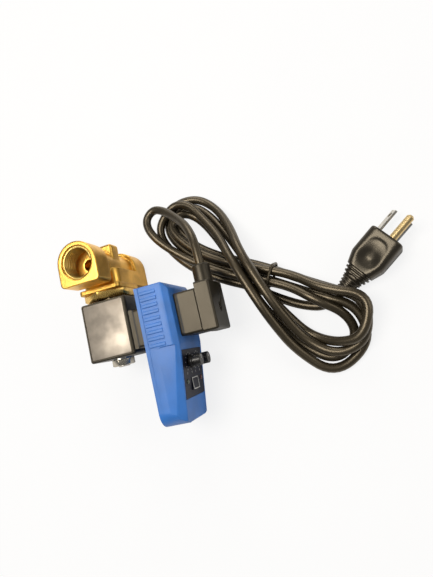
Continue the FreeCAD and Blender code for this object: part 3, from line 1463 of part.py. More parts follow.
def tie_edges(points, middle, ahead):
    """Straight runs and arcs of the tie, round all strands that pass the plane."""
    side = Vector(-ahead.y, ahead.x, 0)
    away = float(s.cord_radius + s.tie_radius + s.tie_gap)
    hull = outline_of(strands_at(points, middle, ahead, 9))
    print("strands in the tie", hull)
    places = [middle + side * across + Vector(0, 0, height - middle.z)
              for across, height in hull]
    outward = [unit((after - here).cross(ahead)) * away
               for here, after in zip(places, places[1:] + places[:1])]
    edges = []
    for number, here in enumerate(places):
        came, leaves = outward[number - 1], outward[number]
        through = here + unit(came + leaves) * away
        edges.append(Part.Arc(here + came, through, here + leaves).toShape())
        after = places[(number + 1) % len(places)]
        edges.append(Part.LineSegment(here + leaves, after + leaves).toShape())
    return edges


def samples(edges, step=2.0):
    found = []
    for edge in edges:
        count = max(2, int(edge.Length / step) + 1)
        low, high = edge.FirstParameter, edge.LastParameter
        found += [edge.valueAt(low + (high - low) * i / count) for i in range(count)]
    return found


def least_gap(points, thickness):
    """Least gap of a cord to itself, away from where it merely bends."""
    run = [0.0]
    for one, two in zip(points, points[1:]):
        run.append(run[-1] + (two - one).Length)
    best = (1e9, None, None)
    for i, one in enumerate(points):
        for j in range(i + 1, len(points)):
            if run[j] - run[i] < 22:
                continue
            two = points[j]
            if abs(one.x - two.x) > 9 or abs(one.y - two.y) > 9:
                continue
            gap = (one - two).Length - thickness
            if gap < best[0]:
                best = (gap, one, two)
    return best


def cord():
    radius = float(s.cord_radius)
    mouth = table.multVec(Vector(float(s.neck_axis), 0, float(s.neck_end)))
    out = table.Rotation.multVec(Vector(0, 0, -1))
    lead = [mouth, mouth + out * 14, Vector(32.5, 61, 31.5), Vector(23.5, 73, 24),
            Vector(14, 83.5, 19.6)]
    wound = hank_points()
    leave = unit(lead[-1] - lead[-2])
    enter = Vector(0.75, -0.66, 0)
    straight = radius * 2
    last = Vector(64.6, 14.4, 5.5)
    wound = [lead[-1] + leave * straight] + wound + [last]
    first_run = Part.LineSegment(lead[-1], wound[0]).toShape()
    last_run = Part.LineSegment(last, last + unit(enter) * straight).toShape()
    bends, tightest = wound_edges(wound, leave, enter)
    relief = plug_on_table.multVec(Vector(-float(s.relief_length), 0, 0))
    axis = plug_on_table.Rotation.multVec(Vector(1, 0, 0))
    start = last + unit(enter) * straight
    tail = [start, start + unit(enter) * 9, Vector(94, -6.5, 3.0), relief - axis * 12.5, relief]
    tail[3].z = max(tail[3].z, 3.0)
    lead_edges, lead_tight = free_edges(lead)
    tail_edges, tail_tight = free_edges(tail)
    hank_edges = [first_run] + bends + [last_run]
    print("tightest lead %.1f hank %.1f tail %.1f" % (lead_tight, tightest, tail_tight))
    whole = samples(lead_edges + hank_edges + tail_edges)
    print("lowest %.2f" % (min(p.z for p in whole) - radius))
    gap, one, two = least_gap(whole, radius * 2)
    print("least gap %.2f at %.1f %.1f %.1f and %.1f %.1f %.1f" % (
        gap, one.x, one.y, one.z, two.x, two.y, two.z))
    print("cord length %.0f" % sum(e.Length for e in lead_edges + hank_edges + tail_edges))
    tube("cord_lead", lead_edges, radius)
    tube("cord_hank", hank_edges, radius)
    tube("cord_tail", tail_edges, radius)
    round_it = tie_edges(whole, Vector(77.5, 17.2, 0), unit(Vector(0.88, -0.47, 0)))
    tube("cord_tie", round_it, float(s.tie_radius))


cord()
for thing in doc.Objects:
    if "Invalid" in thing.State or "Error" in thing.State:
        raise RuntimeError("%s is in state %s" % (thing.Label, thing.State))
os.makedirs("parts", exist_ok=True)
for name, thing in PIECES.items():
    shape = thing.Shape
    if shape.isNull() or not shape.isValid() or not shape.Solids:
        raise RuntimeError("%s has no valid solid" % name)
    shape.exportStep("parts/%s.step" % name)
print("%d sub-parts written" % len(PIECES))
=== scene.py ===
"""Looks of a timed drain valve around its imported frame.

A brass solenoid valve lies on its side with a blue timer and a black cord plug on its coil.
The mains cord is wound into a figure eight beside it and ends in a moulded earthed plug.
"""
import logging
import math
from collections.abc import Callable, Sequence
from dataclasses import dataclass
from enum import Enum

import bmesh
import bpy
from mathutils import Matrix, Vector


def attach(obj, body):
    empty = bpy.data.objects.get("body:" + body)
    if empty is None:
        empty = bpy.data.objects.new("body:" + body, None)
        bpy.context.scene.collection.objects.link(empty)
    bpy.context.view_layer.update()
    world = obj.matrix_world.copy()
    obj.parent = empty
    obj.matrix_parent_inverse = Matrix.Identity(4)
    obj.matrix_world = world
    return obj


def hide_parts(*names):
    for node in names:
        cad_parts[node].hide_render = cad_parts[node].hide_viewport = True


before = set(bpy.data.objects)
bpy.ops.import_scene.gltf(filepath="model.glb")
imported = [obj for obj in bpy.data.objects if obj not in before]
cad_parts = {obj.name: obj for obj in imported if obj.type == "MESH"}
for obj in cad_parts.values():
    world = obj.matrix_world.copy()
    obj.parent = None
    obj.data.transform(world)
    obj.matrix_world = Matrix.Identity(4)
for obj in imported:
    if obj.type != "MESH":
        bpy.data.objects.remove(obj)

LOG = logging.getLogger("drain_valve")
MM = 0.001
Triple = tuple[float, float, float]
Spot = Callable[[Vector, Vector], bool]

# The valve is measured upright: x from the coil to the cord plug, y along the flow, z along
# the plunger. Laid on its side it leans back by this angle, and moves by this much in mm.
LEAN = math.radians(97.9359)
SHIFT = Vector((-29.35, 46.4973, 36.3192))
LAID = Matrix.Translation(SHIFT * MM) @ Matrix.Rotation(LEAN, 4, "X") @ Matrix.Scale(MM, 4)


def laid(x: float, y: float, z: float) -> Vector:
    """Point of the upright valve, in mm, as a point on the table in metres."""
    return LAID @ Vector((x, y, z))


# ---- shader maths ----


class Wire:
    """An output socket that takes part in arithmetic."""

    def __init__(self, board: "NodeBoard", socket: bpy.types.NodeSocket) -> None:
        """Wrap a socket of a board's node tree."""
        self.board = board
        self.socket = socket

    def _maths(self, operation: str, first: object, second: object) -> "Wire":
        """Add a Math node on two values."""
        return self.board.node("ShaderNodeMath", {"operation": operation},
                               {0: first, 1: second}).out("Value")

    def __add__(self, other: object) -> "Wire":
        """Sum."""
        return self._maths("ADD", self, other)

    def __radd__(self, other: object) -> "Wire":
        """Sum that starts with a number."""
        return self._maths("ADD", other, self)

    def __sub__(self, other: object) -> "Wire":
        """Difference."""
        return self._maths("SUBTRACT", self, other)

    def __rsub__(self, other: object) -> "Wire":
        """Difference that starts with a number."""
        return self._maths("SUBTRACT", other, self)

    def __mul__(self, other: object) -> "Wire":
        """Product."""
        return self._maths("MULTIPLY", self, other)

    def __rmul__(self, other: object) -> "Wire":
        """Product that starts with a number."""
        return self._maths("MULTIPLY", other, self)

    def ramp(self, low: float, high: float) -> "Wire":
        """Rise from 0 at low to 1 at high, held beyond them.

        Args:
            low: Value that becomes 0.
            high: Value that becomes 1.

        Returns:
            The mapped value.
        """
        return self.board.node(
            "ShaderNodeMapRange", {"clamp": True},
            {"Value": self, "From Min": low, "From Max": high}).out("Result")


class Knot:
    """A node whose outputs are taken by name."""

    def __init__(self, board: "NodeBoard", node: bpy.types.Node) -> None:
        """Wrap a node."""
        self.board = board
        self.node = node

    def out(self, name: str) -> Wire:
        """The output of that name."""
        return Wire(self.board, self.node.outputs[name])


class NodeBoard:
    """A node tree being filled."""

    def __init__(self, tree: bpy.types.NodeTree) -> None:
        """Start with an empty tree."""
        self.tree = tree
        self.tree.nodes.clear()

    def node(self, kind: str, settings: dict | None = None,
             inputs: dict | None = None) -> Knot:
        """Add a node.

        Args:
            kind: Type of the node.
            settings: Properties, set before the sockets.
            inputs: Values or wires of its input sockets.

        Returns:
            The node, wrapped.
        """
        made = self.tree.nodes.new(kind)
        for name, value in (settings or {}).items():
            setattr(made, name, value)
        for name, value in (inputs or {}).items():
            self.feed(made.inputs[name], value)
        return Knot(self, made)

    def feed(self, socket: bpy.types.NodeSocket, value: object) -> None:
        """Link a wire to an input, or set the input's own value.

        Args:
            socket: The input.
            value: A wire, a number, a colour or a vector.
        """
        if isinstance(value, Wire):
            self.tree.links.new(value.socket, socket)
        elif isinstance(value, tuple) and len(value) == 3 and socket.type == "RGBA":
            socket.default_value = (*value, 1.0)
        else:
            socket.default_value = value


class Paint(NodeBoard):
    """A material being mixed: its node tree, its shader and its coordinates."""

    def __init__(self, name: str) -> None:
        """Start a material that holds one Principled shader.

        Args:
            name: Name of the material.
        """
        self.material = bpy.data.materials.new(name)
        self.material.use_nodes = True
        super().__init__(self.material.node_tree)
        self.shader = self.node("ShaderNodeBsdfPrincipled")
        self.output = self.node("ShaderNodeOutputMaterial",
                                None, {"Surface": self.shader.out("BSDF")})
        self.place = self.node("ShaderNodeTexCoord").out("Object")

    def set(self, **inputs: object) -> None:
        """Feed sockets of the Principled shader, with _ for a space in a name."""
        for name, value in inputs.items():
            self.feed(self.shader.node.inputs[name.replace("_", " ")], value)

    def noise(self, size: float, detail: float = 3.0, stretch: Triple = (1, 1, 1)) -> Wire:
        """Noise from 0 to 1 with features of about a size in metres.

        Args:
            size: Size of the features.
            detail: Octaves.
            stretch: Factors on the coordinates.

        Returns:
            The noise value.
        """
        place = self.place
        if stretch != (1, 1, 1):
            place = self.node("ShaderNodeMapping", None,
                              {"Vector": place, "Scale": stretch}).out("Vector")
        return self.node("ShaderNodeTexNoise", None,
                         {"Vector": place, "Scale": 1 / size, "Detail": detail}).out("Fac")

    def blend(self, share: object, first: object, second: object) -> Wire:
        """Mix two colours by a share of the second.

        Args:
            share: Share of the second, from 0 to 1.
            first: Colour at 0.
            second: Colour at 1.

        Returns:
            The mixed colour.
        """
        mixer = self.node("ShaderNodeMix", {"data_type": "RGBA"})
        for socket, value in zip((0, 6, 7), (share, first, second)):
            self.feed(mixer.node.inputs[socket], value)
        return Wire(self, mixer.node.outputs[2])

    def bump(self, height: Wire, depth: float) -> None:
        """Raise the surface by a height from 0 to 1 times a depth in metres.

        Args:
            height: Height from 0 to 1.
            depth: Depth in metres.
        """
        self.set(Normal=self.node(
            "ShaderNodeBump", None,
            {"Height": height, "Distance": depth, "Strength": 1.0}).out("Normal"))


# ---- finishes ----


@dataclass(frozen=True)
class Finish:
    """A surface finish: its name, mean colour, and roughness."""

    name: str
    colour: Triple
    roughness: float

    def shades(self, light: float, dark: float) -> tuple[Triple, Triple]:
        """Lighter and darker variants of the colour."""
        return (tuple(min(1.0, c * light) for c in self.colour),
                tuple(c * dark for c in self.colour))

    def mix(self) -> bpy.types.Material:
        """Make the material.

        Returns:
            The material.
        """
        paint = Paint(self.name)
        self.dress(paint)
        return paint.material

    def dress(self, paint: Paint) -> None:
        """Set up the shader. Each kind of finish has its own way."""
        raise NotImplementedError


@dataclass(frozen=True)
class Moulded(Finish):
    """Injection-moulded plastic: its grain's size and depth in metres, and its reflections."""

    grain: float = 0.0006
    depth: float = 0.00004
    gloss: float = 0.5
    sheen: Triple = (1.0, 1.0, 1.0)

    def dress(self, paint: Paint) -> None:
        """Fine grain in the bump, drifting colour, roughness that wanders.

        Args:
            paint: The material being mixed.
        """
        light, dark = self.shades(1.12, 0.86)
        drift = paint.noise(0.018, 2.0)
        fine = paint.noise(self.grain, 2.0)
        paint.set(Base_Color=paint.blend(drift.ramp(0.35, 0.65), dark, light),
                  Roughness=(self.roughness - 0.11) + 0.10 * drift + 0.12 * fine,
                  Specular_IOR_Level=self.gloss, Specular_Tint=self.sheen)
        paint.bump(fine, self.depth)


@dataclass(frozen=True)
class CastMetal(Finish):
    """Cast metal: pebbled skin of a size and depth in metres, and stains."""

    skin: float = 0.0009
    depth: float = 0.00008

    def dress(self, paint: Paint) -> None:
        """Pebbles in the bump, stains in the colour and the roughness.

        Args:
            paint: The material being mixed.
        """
        light, dark = self.shades(1.1, 0.72)
        stain = paint.noise(0.012, 4.0)
        pebbles = paint.noise(self.skin, 3.0)
        paint.set(Base_Color=paint.blend(stain.ramp(0.3, 0.62), dark, light), Metallic=1.0,
                  Roughness=(self.roughness + 0.08) - 0.14 * stain.ramp(0.3, 0.7))
        paint.bump(pebbles, self.depth)


@dataclass(frozen=True)
class TurnedMetal(Finish):
    """Machined metal: fine tool marks of a depth in metres, and how metallic it is."""

    depth: float = 0.00001
    metal: float = 1.0

    def dress(self, paint: Paint) -> None:
        """Fine noise for the tool marks, a little staining.

        Args:
            paint: The material being mixed.
        """
        light, dark = self.shades(1.08, 0.85)
        tool = paint.noise(0.0004, 2.0)
        stain = paint.noise(0.006, 3.0)
        paint.set(Base_Color=paint.blend(stain.ramp(0.3, 0.7), dark, light),
                  Metallic=self.metal, Roughness=(self.roughness - 0.02) + 0.04 * tool)
        paint.bump(tool, self.depth)


@dataclass(frozen=True)
class Rubber(Finish):
    """Matt rubber with a dusty bloom."""

    def dress(self, paint: Paint) -> None:
        """Cloudy bloom and a fine skin.

        Args:
            paint: The material being mixed.
        """
        light, dark = self.shades(1.5, 0.8)
        bloom = paint.noise(0.008, 4.0)
        paint.set(Base_Color=paint.blend(bloom.ramp(0.4, 0.7), dark, light),
                  Roughness=(self.roughness - 0.1) + 0.2 * bloom.ramp(0.3, 0.7))
        paint.bump(paint.noise(0.0004), 0.00002)


@dataclass(frozen=True)
class Lens(Finish):
    """Tinted clear plastic over a small lamp."""

    def dress(self, paint: Paint) -> None:
        """A glossy tint with a paler heart.

        Args:
            paint: The material being mixed.
        """
        light, dark = self.shades(1.6, 0.8)
        paint.set(Base_Color=paint.blend(paint.noise(0.001).ramp(0.3, 0.7), dark, light),
                  Roughness=self.roughness, Coat_Weight=0.6, Transmission_Weight=0.3, IOR=1.49)


@dataclass(frozen=True)
class Foil(Finish):
    """Matt metal foil of a type plate: cloudy tarnish and a faint brushed grain."""

    def dress(self, paint: Paint) -> None:
        """Clouds in the colour and the roughness, fine lines in the bump.

        Args:
            paint: The material being mixed.
        """
        light, dark = self.shades(1.25, 0.8)
        clouds = paint.noise(0.014, 3.0)
        paint.set(Base_Color=paint.blend(clouds.ramp(0.35, 0.65), dark, light),
                  Metallic=0.85,
                  Roughness=(self.roughness + 0.06) - 0.12 * clouds.ramp(0.3, 0.7))
        paint.bump(paint.noise(0.0005, 2.0, (1.0, 0.1, 1.0)), 0.000003)


class Stock(Enum):
    """The finishes of the parts, by the maker's word for each; the brass of the port threads is
    a brighter copy with painted light.
    """

    CAST_BRASS = CastMetal("cast_brass", (0.88, 0.52, 0.11), 0.34)
    PIN_BRASS = TurnedMetal("pin_brass", (0.74, 0.56, 0.28), 0.34, 0.0000001)
    TURNED_BRASS = TurnedMetal("turned_brass", (0.92, 0.60, 0.17), 0.27, 0.0000006)
    # Machined brass of the port threads, brighter and less metallic than the turned brass:
    # painted light, so that the threads in the shaded bore look lit.
    PAINTED_LIT_BORE_BRASS = TurnedMetal("bore_brass_painted_lit", (1.0, 0.72, 0.22), 0.3, 0.0000003, 0.7)
    PLATED_STEEL = TurnedMetal("plated_steel", (0.62, 0.60, 0.55), 0.26, 0.000001)
    BRIGHT_STEEL = TurnedMetal("bright_steel", (0.60, 0.55, 0.45), 0.27, 0.000001)
    COPPER = TurnedMetal("copper", (0.80, 0.36, 0.20), 0.3)
    PLATE = Foil("type_plate_foil", (0.34, 0.30, 0.25), 0.52)
    BLACK_CASE = Moulded("black_case", (0.015, 0.013, 0.009), 0.40, 0.0006, 0.00003, 0.6,
                         (1.0, 0.88, 0.68))
    BLUE_CASE = Moulded("blue_case", (0.040, 0.180, 0.560), 0.38, 0.0006, 0.00003, 0.4)
    BLUE_TRIM = Moulded("blue_trim", (0.03, 0.10, 0.36), 0.4)
    NATURAL = Moulded("natural_nylon", (0.66, 0.62, 0.52), 0.45)
    PANEL_FILM = Moulded("panel_film", (0.008, 0.009, 0.020), 0.34, 0.0003, 0.00001, 0.22)
    PRINT = Moulded("white_print", (0.72, 0.72, 0.70), 0.5, 0.0004, 0.00001)
    BOARD = Moulded("board_lacquer", (0.02, 0.16, 0.06), 0.3)
    GLOSSY_BLACK = Moulded("glossy_black", (0.012, 0.011, 0.010), 0.28)
    SHEATH = Moulded("cord_sheath", (0.018, 0.014, 0.008), 0.35, 0.0009, 0.00002, 1.0,
                     (1.0, 0.84, 0.60))
    PLUG_BODY = Moulded("plug_body", (0.014, 0.012, 0.009), 0.34, 0.0007, 0.00002, 0.7,
                        (1.0, 0.88, 0.68))
    BLACK_RUBBER = Rubber("black_rubber", (0.028, 0.027, 0.026), 0.62)
    GREEN_LENS = Lens("green_lens", (0.025, 0.055, 0.025), 0.2)
    RED_LENS = Lens("red_lens", (0.14, 0.040, 0.035), 0.2)


class Paints:
    """Materials made once and given out by finish."""

    def __init__(self) -> None:
        """Start with none."""
        self.made: dict[str, bpy.types.Material] = {}

    def give(self, stock: Stock, *pieces: bpy.types.Object) -> None:
        """Put a finish on pieces, in place of what they had.

        Args:
            stock: The finish.
            pieces: The objects that get it.
        """
        if stock.name not in self.made:
            self.made[stock.name] = stock.value.mix()
        for piece in pieces:
            piece.data.materials.clear()
            piece.data.materials.append(self.made[stock.name])


NODE_STOCK: dict[Stock, tuple[str, ...]] = {
    Stock.CAST_BRASS: ("valve_body",),
    Stock.TURNED_BRASS: ("bonnet",),
    Stock.PIN_BRASS: ("ground_pin",),
    Stock.PLATED_STEEL: (
        "armature_tube", "fixed_core", "plunger", "plunger_spring", "coil_yoke",
        "coil_terminals", "lock_washer", "coil_nut", "case_screws", "inlet_terminals",
        "plug_screw", "mains_blades"),
    Stock.COPPER: ("shading_ring", "coil_winding"),
    Stock.BLACK_CASE: (
        "coil_housing", "coil_socket", "test_switch", "interval_knob", "duration_knob",
        "inlet_base", "plug_hood", "mains_plug", "mains_relief"),
    Stock.BLUE_CASE: ("timer_housing", "timer_back_cover"),
    Stock.BLUE_TRIM: ("interval_potentiometer", "duration_potentiometer"),
    Stock.NATURAL: ("coil_bobbin", "contact_block"),
    Stock.PANEL_FILM: ("control_panel", "test_button"),
    Stock.BOARD: ("circuit_board",),
    Stock.BLACK_RUBBER: ("bonnet_o_ring", "plunger_seal", "coil_gasket", "plug_gasket"),
    Stock.SHEATH: ("cord_lead", "cord_hank", "cord_tail", "cord_tie"),
    Stock.GREEN_LENS: ("power_lamp",),
    Stock.RED_LENS: ("valve_lamp",),
}


# ---- places ----


# The timer's front leans back: how far out it is at its near end, how far it falls, and the
# heights of its two ends and of the panel's middle.
FRONT_NEAR_OUT, FRONT_FALL = 49.6, 5.9
FRONT_NEAR, FRONT_FAR, PANEL_MIDDLE = 63.0, 110.4, 81.75
FRONT_SLOPE = math.atan2(FRONT_FALL, FRONT_FAR - FRONT_NEAR)

# The mains plug begins at its joint with the relief, in mm on the table. It rests on its front
# and its shoulder: their half widths and their distances from the joint give its pitch. The
# row of its blades is rolled about its axis.
PLUG_JOINT = Vector((126.9, 1.6, 7.05))
PLUG_FRONT_HALF, PLUG_SHOULDER_HALF = 11.4, 9.0
PLUG_FRONT_ALONG, PLUG_SHOULDER_ALONG = 34.0, 15.0
PLUG_PITCH = math.atan2(PLUG_FRONT_HALF - PLUG_SHOULDER_HALF,
                        PLUG_FRONT_ALONG - PLUG_SHOULDER_ALONG)
PLUG_YAW = math.radians(35.0)
PLUG_ROLL = math.radians(62.0)
PLUG_AXIS = Vector((math.cos(PLUG_PITCH) * math.cos(PLUG_YAW),
                    math.cos(PLUG_PITCH) * math.sin(PLUG_YAW), math.sin(PLUG_PITCH)))
RELIEF_LENGTH = 9.0

# Places that pieces are shaped in, as matrices from mm there to metres on the table. On the
# panel, x goes across it, y towards its near end and z out of it.
PANEL = LAID @ Matrix.Translation(
    (FRONT_NEAR_OUT - (PANEL_MIDDLE - FRONT_NEAR) * math.tan(FRONT_SLOPE), 0.0, PANEL_MIDDLE)
) @ Matrix(((0.0, math.sin(FRONT_SLOPE), math.cos(FRONT_SLOPE)), (-1.0, 0.0, 0.0),
            (0.0, -math.cos(FRONT_SLOPE), math.sin(FRONT_SLOPE)))).to_4x4()
TABLE = Matrix.Scale(MM, 4)
PLUG_PLACE = (TABLE @ Matrix.Translation(PLUG_JOINT) @ Matrix.Rotation(PLUG_YAW, 4, "Z")
              @ Matrix.Rotation(-PLUG_PITCH, 4, "Y"))


# ---- bench ----


def hands_off() -> None:
    """Leave edit mode, so that the next object can be added or chosen."""
    if bpy.context.object and bpy.context.object.mode == "EDIT":
        bpy.ops.object.mode_set(mode="OBJECT")
    bpy.ops.object.select_all(action="DESELECT")


class Select(Enum):
    """What is selected in edit mode."""

    CORNERS = "VERT"
    EDGES = "EDGE"
    FACES = "FACE"


class Bench:
    """One piece being shaped in mm with edit-mode tools, then laid in its place."""

    def __init__(self, name: str, piece: bpy.types.Object) -> None:
        """Take a piece onto the bench under its name.

        Args:
            name: Name of the object and of its mesh.
            piece: The object.
        """
        self.piece = piece
        piece.name = name
        piece.data.name = name

    @classmethod
    def block(cls, name: str, low: Triple, high: Triple) -> "Bench":
        """A block between two corners.

        Args:
            name: Name of the piece.
            low: Corner with the lowest coordinates.
            high: Corner with the highest coordinates.

        Returns:
            The bench with the block.
        """
        hands_off()
        bpy.ops.mesh.primitive_cube_add(
            size=1.0, location=[(a + b) / 2 for a, b in zip(low, high)],
            scale=[b - a for a, b in zip(low, high)])
        bpy.ops.object.transform_apply(location=True, rotation=True, scale=True)
        return cls(name, bpy.context.object)

    @classmethod
    def turned(cls, name: str, profile: Sequence[tuple[float, float]], sides: int) -> "Bench":
        """A solid turned about z.

        Args:
            name: Name of the piece.
            profile: Radius and height of each ring, from the first face to the last.
            sides: Corners of a ring.

        Returns:
            The bench with the closed solid.
        """
        hands_off()
        (radius, height), *rest = profile
        bpy.ops.mesh.primitive_circle_add(vertices=sides, radius=radius, fill_type="NGON",
                                          location=(0.0, 0.0, height))
        bpy.ops.object.transform_apply(location=True, rotation=True, scale=True)
        bench = cls(name, bpy.context.object)
        bench.edit(Select.FACES)
        bpy.ops.mesh.select_all(action="SELECT")
        for wide, far in rest:
            bench.extrude((0.0, 0.0, far - height), (wide / radius, wide / radius, 1.0),
                          (0.0, 0.0, far))
            radius, height = wide, far
        return bench.outward()

    @classmethod
    def traced(cls, name: str, node: str, place: Matrix = LAID) -> "Bench":
        """A copy of a CAD node in mm, its triangles merged into whole flats.

        Args:
            name: Name of the piece.
            node: Name of the CAD node.
            place: Matrix from the bench to the table.

        Returns:
            The bench with the copy, in edit mode.
        """
        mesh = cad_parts[node].data.copy()
        mesh.transform(place.inverted())
        piece = bpy.data.objects.new(name, mesh)
        bpy.context.scene.collection.objects.link(piece)
        bench = cls(name, piece)
        bench.edit(Select.CORNERS)
        bpy.ops.mesh.select_all(action="SELECT")
        bpy.ops.mesh.remove_doubles(threshold=0.002)
        bpy.ops.mesh.dissolve_limited(angle_limit=math.radians(0.4))
        return bench

    @classmethod
    def joined(cls, name: str, benches: Sequence["Bench"]) -> "Bench":
        """Several pieces as one.

        Args:
            name: Name of the piece.
            benches: Benches with the pieces to join.

        Returns:
            The bench with the joined piece.
        """
        hands_off()
        for bench in benches:
            bench.piece.select_set(True)
        bpy.context.view_layer.objects.active = benches[0].piece
        bpy.ops.object.join()
        return cls(name, benches[0].piece)

    def edit(self, kind: Select) -> None:
        """Go into edit mode on this piece alone, with nothing selected.

        Args:
            kind: What is selected there.
        """
        hands_off()
        bpy.context.view_layer.objects.active = self.piece
        self.piece.select_set(True)
        bpy.ops.object.mode_set(mode="EDIT")
        bpy.ops.mesh.select_mode(type=kind.value)
        bpy.ops.mesh.select_all(action="DESELECT")

    def pick(self, wanted: Spot) -> "Bench":
        """Select the faces whose middle and normal are wanted.

        Args:
            wanted: Test on a face's middle and normal.

        Returns:
            The bench.
        """
        self.edit(Select.FACES)
        mesh = bmesh.from_edit_mesh(self.piece.data)
        for face in mesh.faces:
            face.select_set(wanted(face.calc_center_median(), face.normal))
        bmesh.update_edit_mesh(self.piece.data)
        return self

    def pick_corners(self, wanted: Callable[[Vector], bool]) -> None:
        """Select the corners whose place is wanted.

        Args:
            wanted: Test on a corner's place.
        """
        self.edit(Select.CORNERS)
        mesh = bmesh.from_edit_mesh(self.piece.data)
        for corner in mesh.verts:
            corner.select_set(wanted(corner.co))
        bmesh.update_edit_mesh(self.piece.data)

    def extrude(self, ahead: Triple, scale: Triple, centre: Triple) -> None:
        """Extrude what is selected, and scale its far end about a centre."""
        bpy.ops.mesh.extrude_region_move(TRANSFORM_OT_translate={"value": ahead})
        bpy.ops.transform.resize(value=scale, center_override=centre)

    def soften(self, size: float, sharp: float = 24.0, least: float = 3.0,
               segments: int = 2, wanted: Spot | None = None) -> "Bench":
        """Round the outer edges that are sharper and longer than given.

        Args:
            size: Width taken off an edge, in mm.
            sharp: Smallest angle between an edge's faces, in degrees.
            least: Shortest edge, in mm.
            segments: Facets of the round.
            wanted: Test on an edge's middle and direction.

        Returns:
            The bench.
        """
        self.edit(Select.EDGES)
        mesh = bmesh.from_edit_mesh(self.piece.data)
        for edge in mesh.edges:
            first, last = (corner.co for corner in edge.verts)
            edge.select_set(
                edge.is_manifold and edge.is_convex
                and edge.calc_face_angle(0.0) > math.radians(sharp)
                and edge.calc_length() > least
                and (wanted is None or wanted((first + last) / 2, (last - first).normalized())))
        bmesh.update_edit_mesh(self.piece.data)
        bpy.ops.mesh.bevel(offset=size, segments=segments, affect="EDGES")
        return self

    def outward(self) -> "Bench":
        """Merge doubles and turn every face outwards.

        Returns:
            The bench.
        """
        bpy.ops.mesh.select_all(action="SELECT")
        bpy.ops.mesh.remove_doubles(threshold=0.0005)
        bpy.ops.mesh.normals_make_consistent(inside=False)
        return self

    def use(self, kind: str, **settings: object) -> "Bench":
        """Add a modifier with its settings and apply it.

        Args:
            kind: Type of the modifier.
            settings: Its properties.

        Returns:
            The bench.
        """
        hands_off()
        bpy.context.view_layer.objects.active = self.piece
        modifier = self.piece.modifiers.new(kind.lower(), kind)
        for name, value in settings.items():
            setattr(modifier, name, value)
        bpy.ops.object.modifier_apply(modifier=modifier.name)
        return self

    def recast(self, voxel: float, passes: int) -> "Bench":
        """Melt the surface into an even net and smooth it, as a casting or moulding is."""
        return self.use("REMESH", mode="VOXEL", voxel_size=voxel).use(
            "SMOOTH", factor=0.5, iterations=passes)

    def copied(self, name: str, turn: Matrix) -> "Bench":
        """Another of the same, with its own mesh, turned or moved in mm.

        Args:
            name: Name of the copy.
            turn: Matrix that turns or moves it.

        Returns:
            The bench with the copy.
        """
        hands_off()
        piece = self.piece.copy()
        piece.data = self.piece.data.copy()
        piece.data.transform(turn)
        bpy.context.scene.collection.objects.link(piece)
        return Bench(name, piece)

    def aimed(self, start: Vector, ahead: Vector) -> "Bench":
        """Move a piece made along z to start somewhere and point along a direction.

        Args:
            start: Where its origin goes.
            ahead: Direction that its z axis takes.

        Returns:
            The bench.
        """
        hands_off()
        turn = Vector((0.0, 0.0, 1.0)).rotation_difference(ahead).to_matrix().to_4x4()
        self.piece.data.transform(Matrix.Translation(start) @ turn)
        return self

    def set_down(self, paints: Paints, stock: Stock, slot: str, body: str = "valve",
                 place: Matrix = LAID, stands_for: tuple[str, ...] = (),
                 smooth: float = 32.0) -> bpy.types.Object:
        """Lay the finished piece in its place and dress it.

        Args:
            paints: The materials.
            stock: Its finish.
            slot: Material slot of the record; not used.
            body: Body that it moves with.
            place: Matrix from the bench to the table.
            stands_for: CAD nodes that it replaces.
            smooth: Angle in degrees below which edges shade smooth.

        Returns:
            The object.
        """
        hands_off()
        self.piece.data.transform(place)
        self.piece.data.update()
        bpy.context.view_layer.objects.active = self.piece
        self.piece.select_set(True)
        bpy.ops.object.shade_smooth_by_angle(angle=math.radians(smooth))
        paints.give(stock, self.piece)
        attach(self.piece, body)
        if stands_for:
            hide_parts(*stands_for)
        LOG.info("%s: %d faces", self.piece.name, len(self.piece.data.polygons))
        return self.piece


# ---- valve ----


@dataclass
class FlowArrow:
    """A plain raised arrow along the flow on the lower block. Sizes are in mm."""

    front: float = 11.5
    sunk: float = 0.4
    proud: float = 0.35
    tail: float = -6.0
    neck: float = 3.0
    head: float = 3.2
    level: float = 7.25
    width: float = 1.3
    flare: float = 2.9
    tip: float = 0.06

    def build(self, paints: Paints) -> None:
        """Make the shaft, flare it out, and draw the head to its tip.

        Args:
            paints: The materials.
        """
        half = self.width / 2
        arrow = Bench.block(
            "flow_arrow", (self.front - self.sunk, self.tail, self.level - half),
            (self.front + self.proud, self.neck, self.level + half))
        arrow.pick(lambda middle, normal: normal.y > 0.9)
        for ahead, ratio in ((0.01, self.flare), (self.head, self.tip)):
            arrow.extrude((0.0, ahead, 0.0), (1.0, 1.0, ratio),
                          (self.front, self.neck, self.level))
        arrow.outward().soften(0.12, least=0.3)
        arrow.set_down(paints, Stock.CAST_BRASS, "brass")


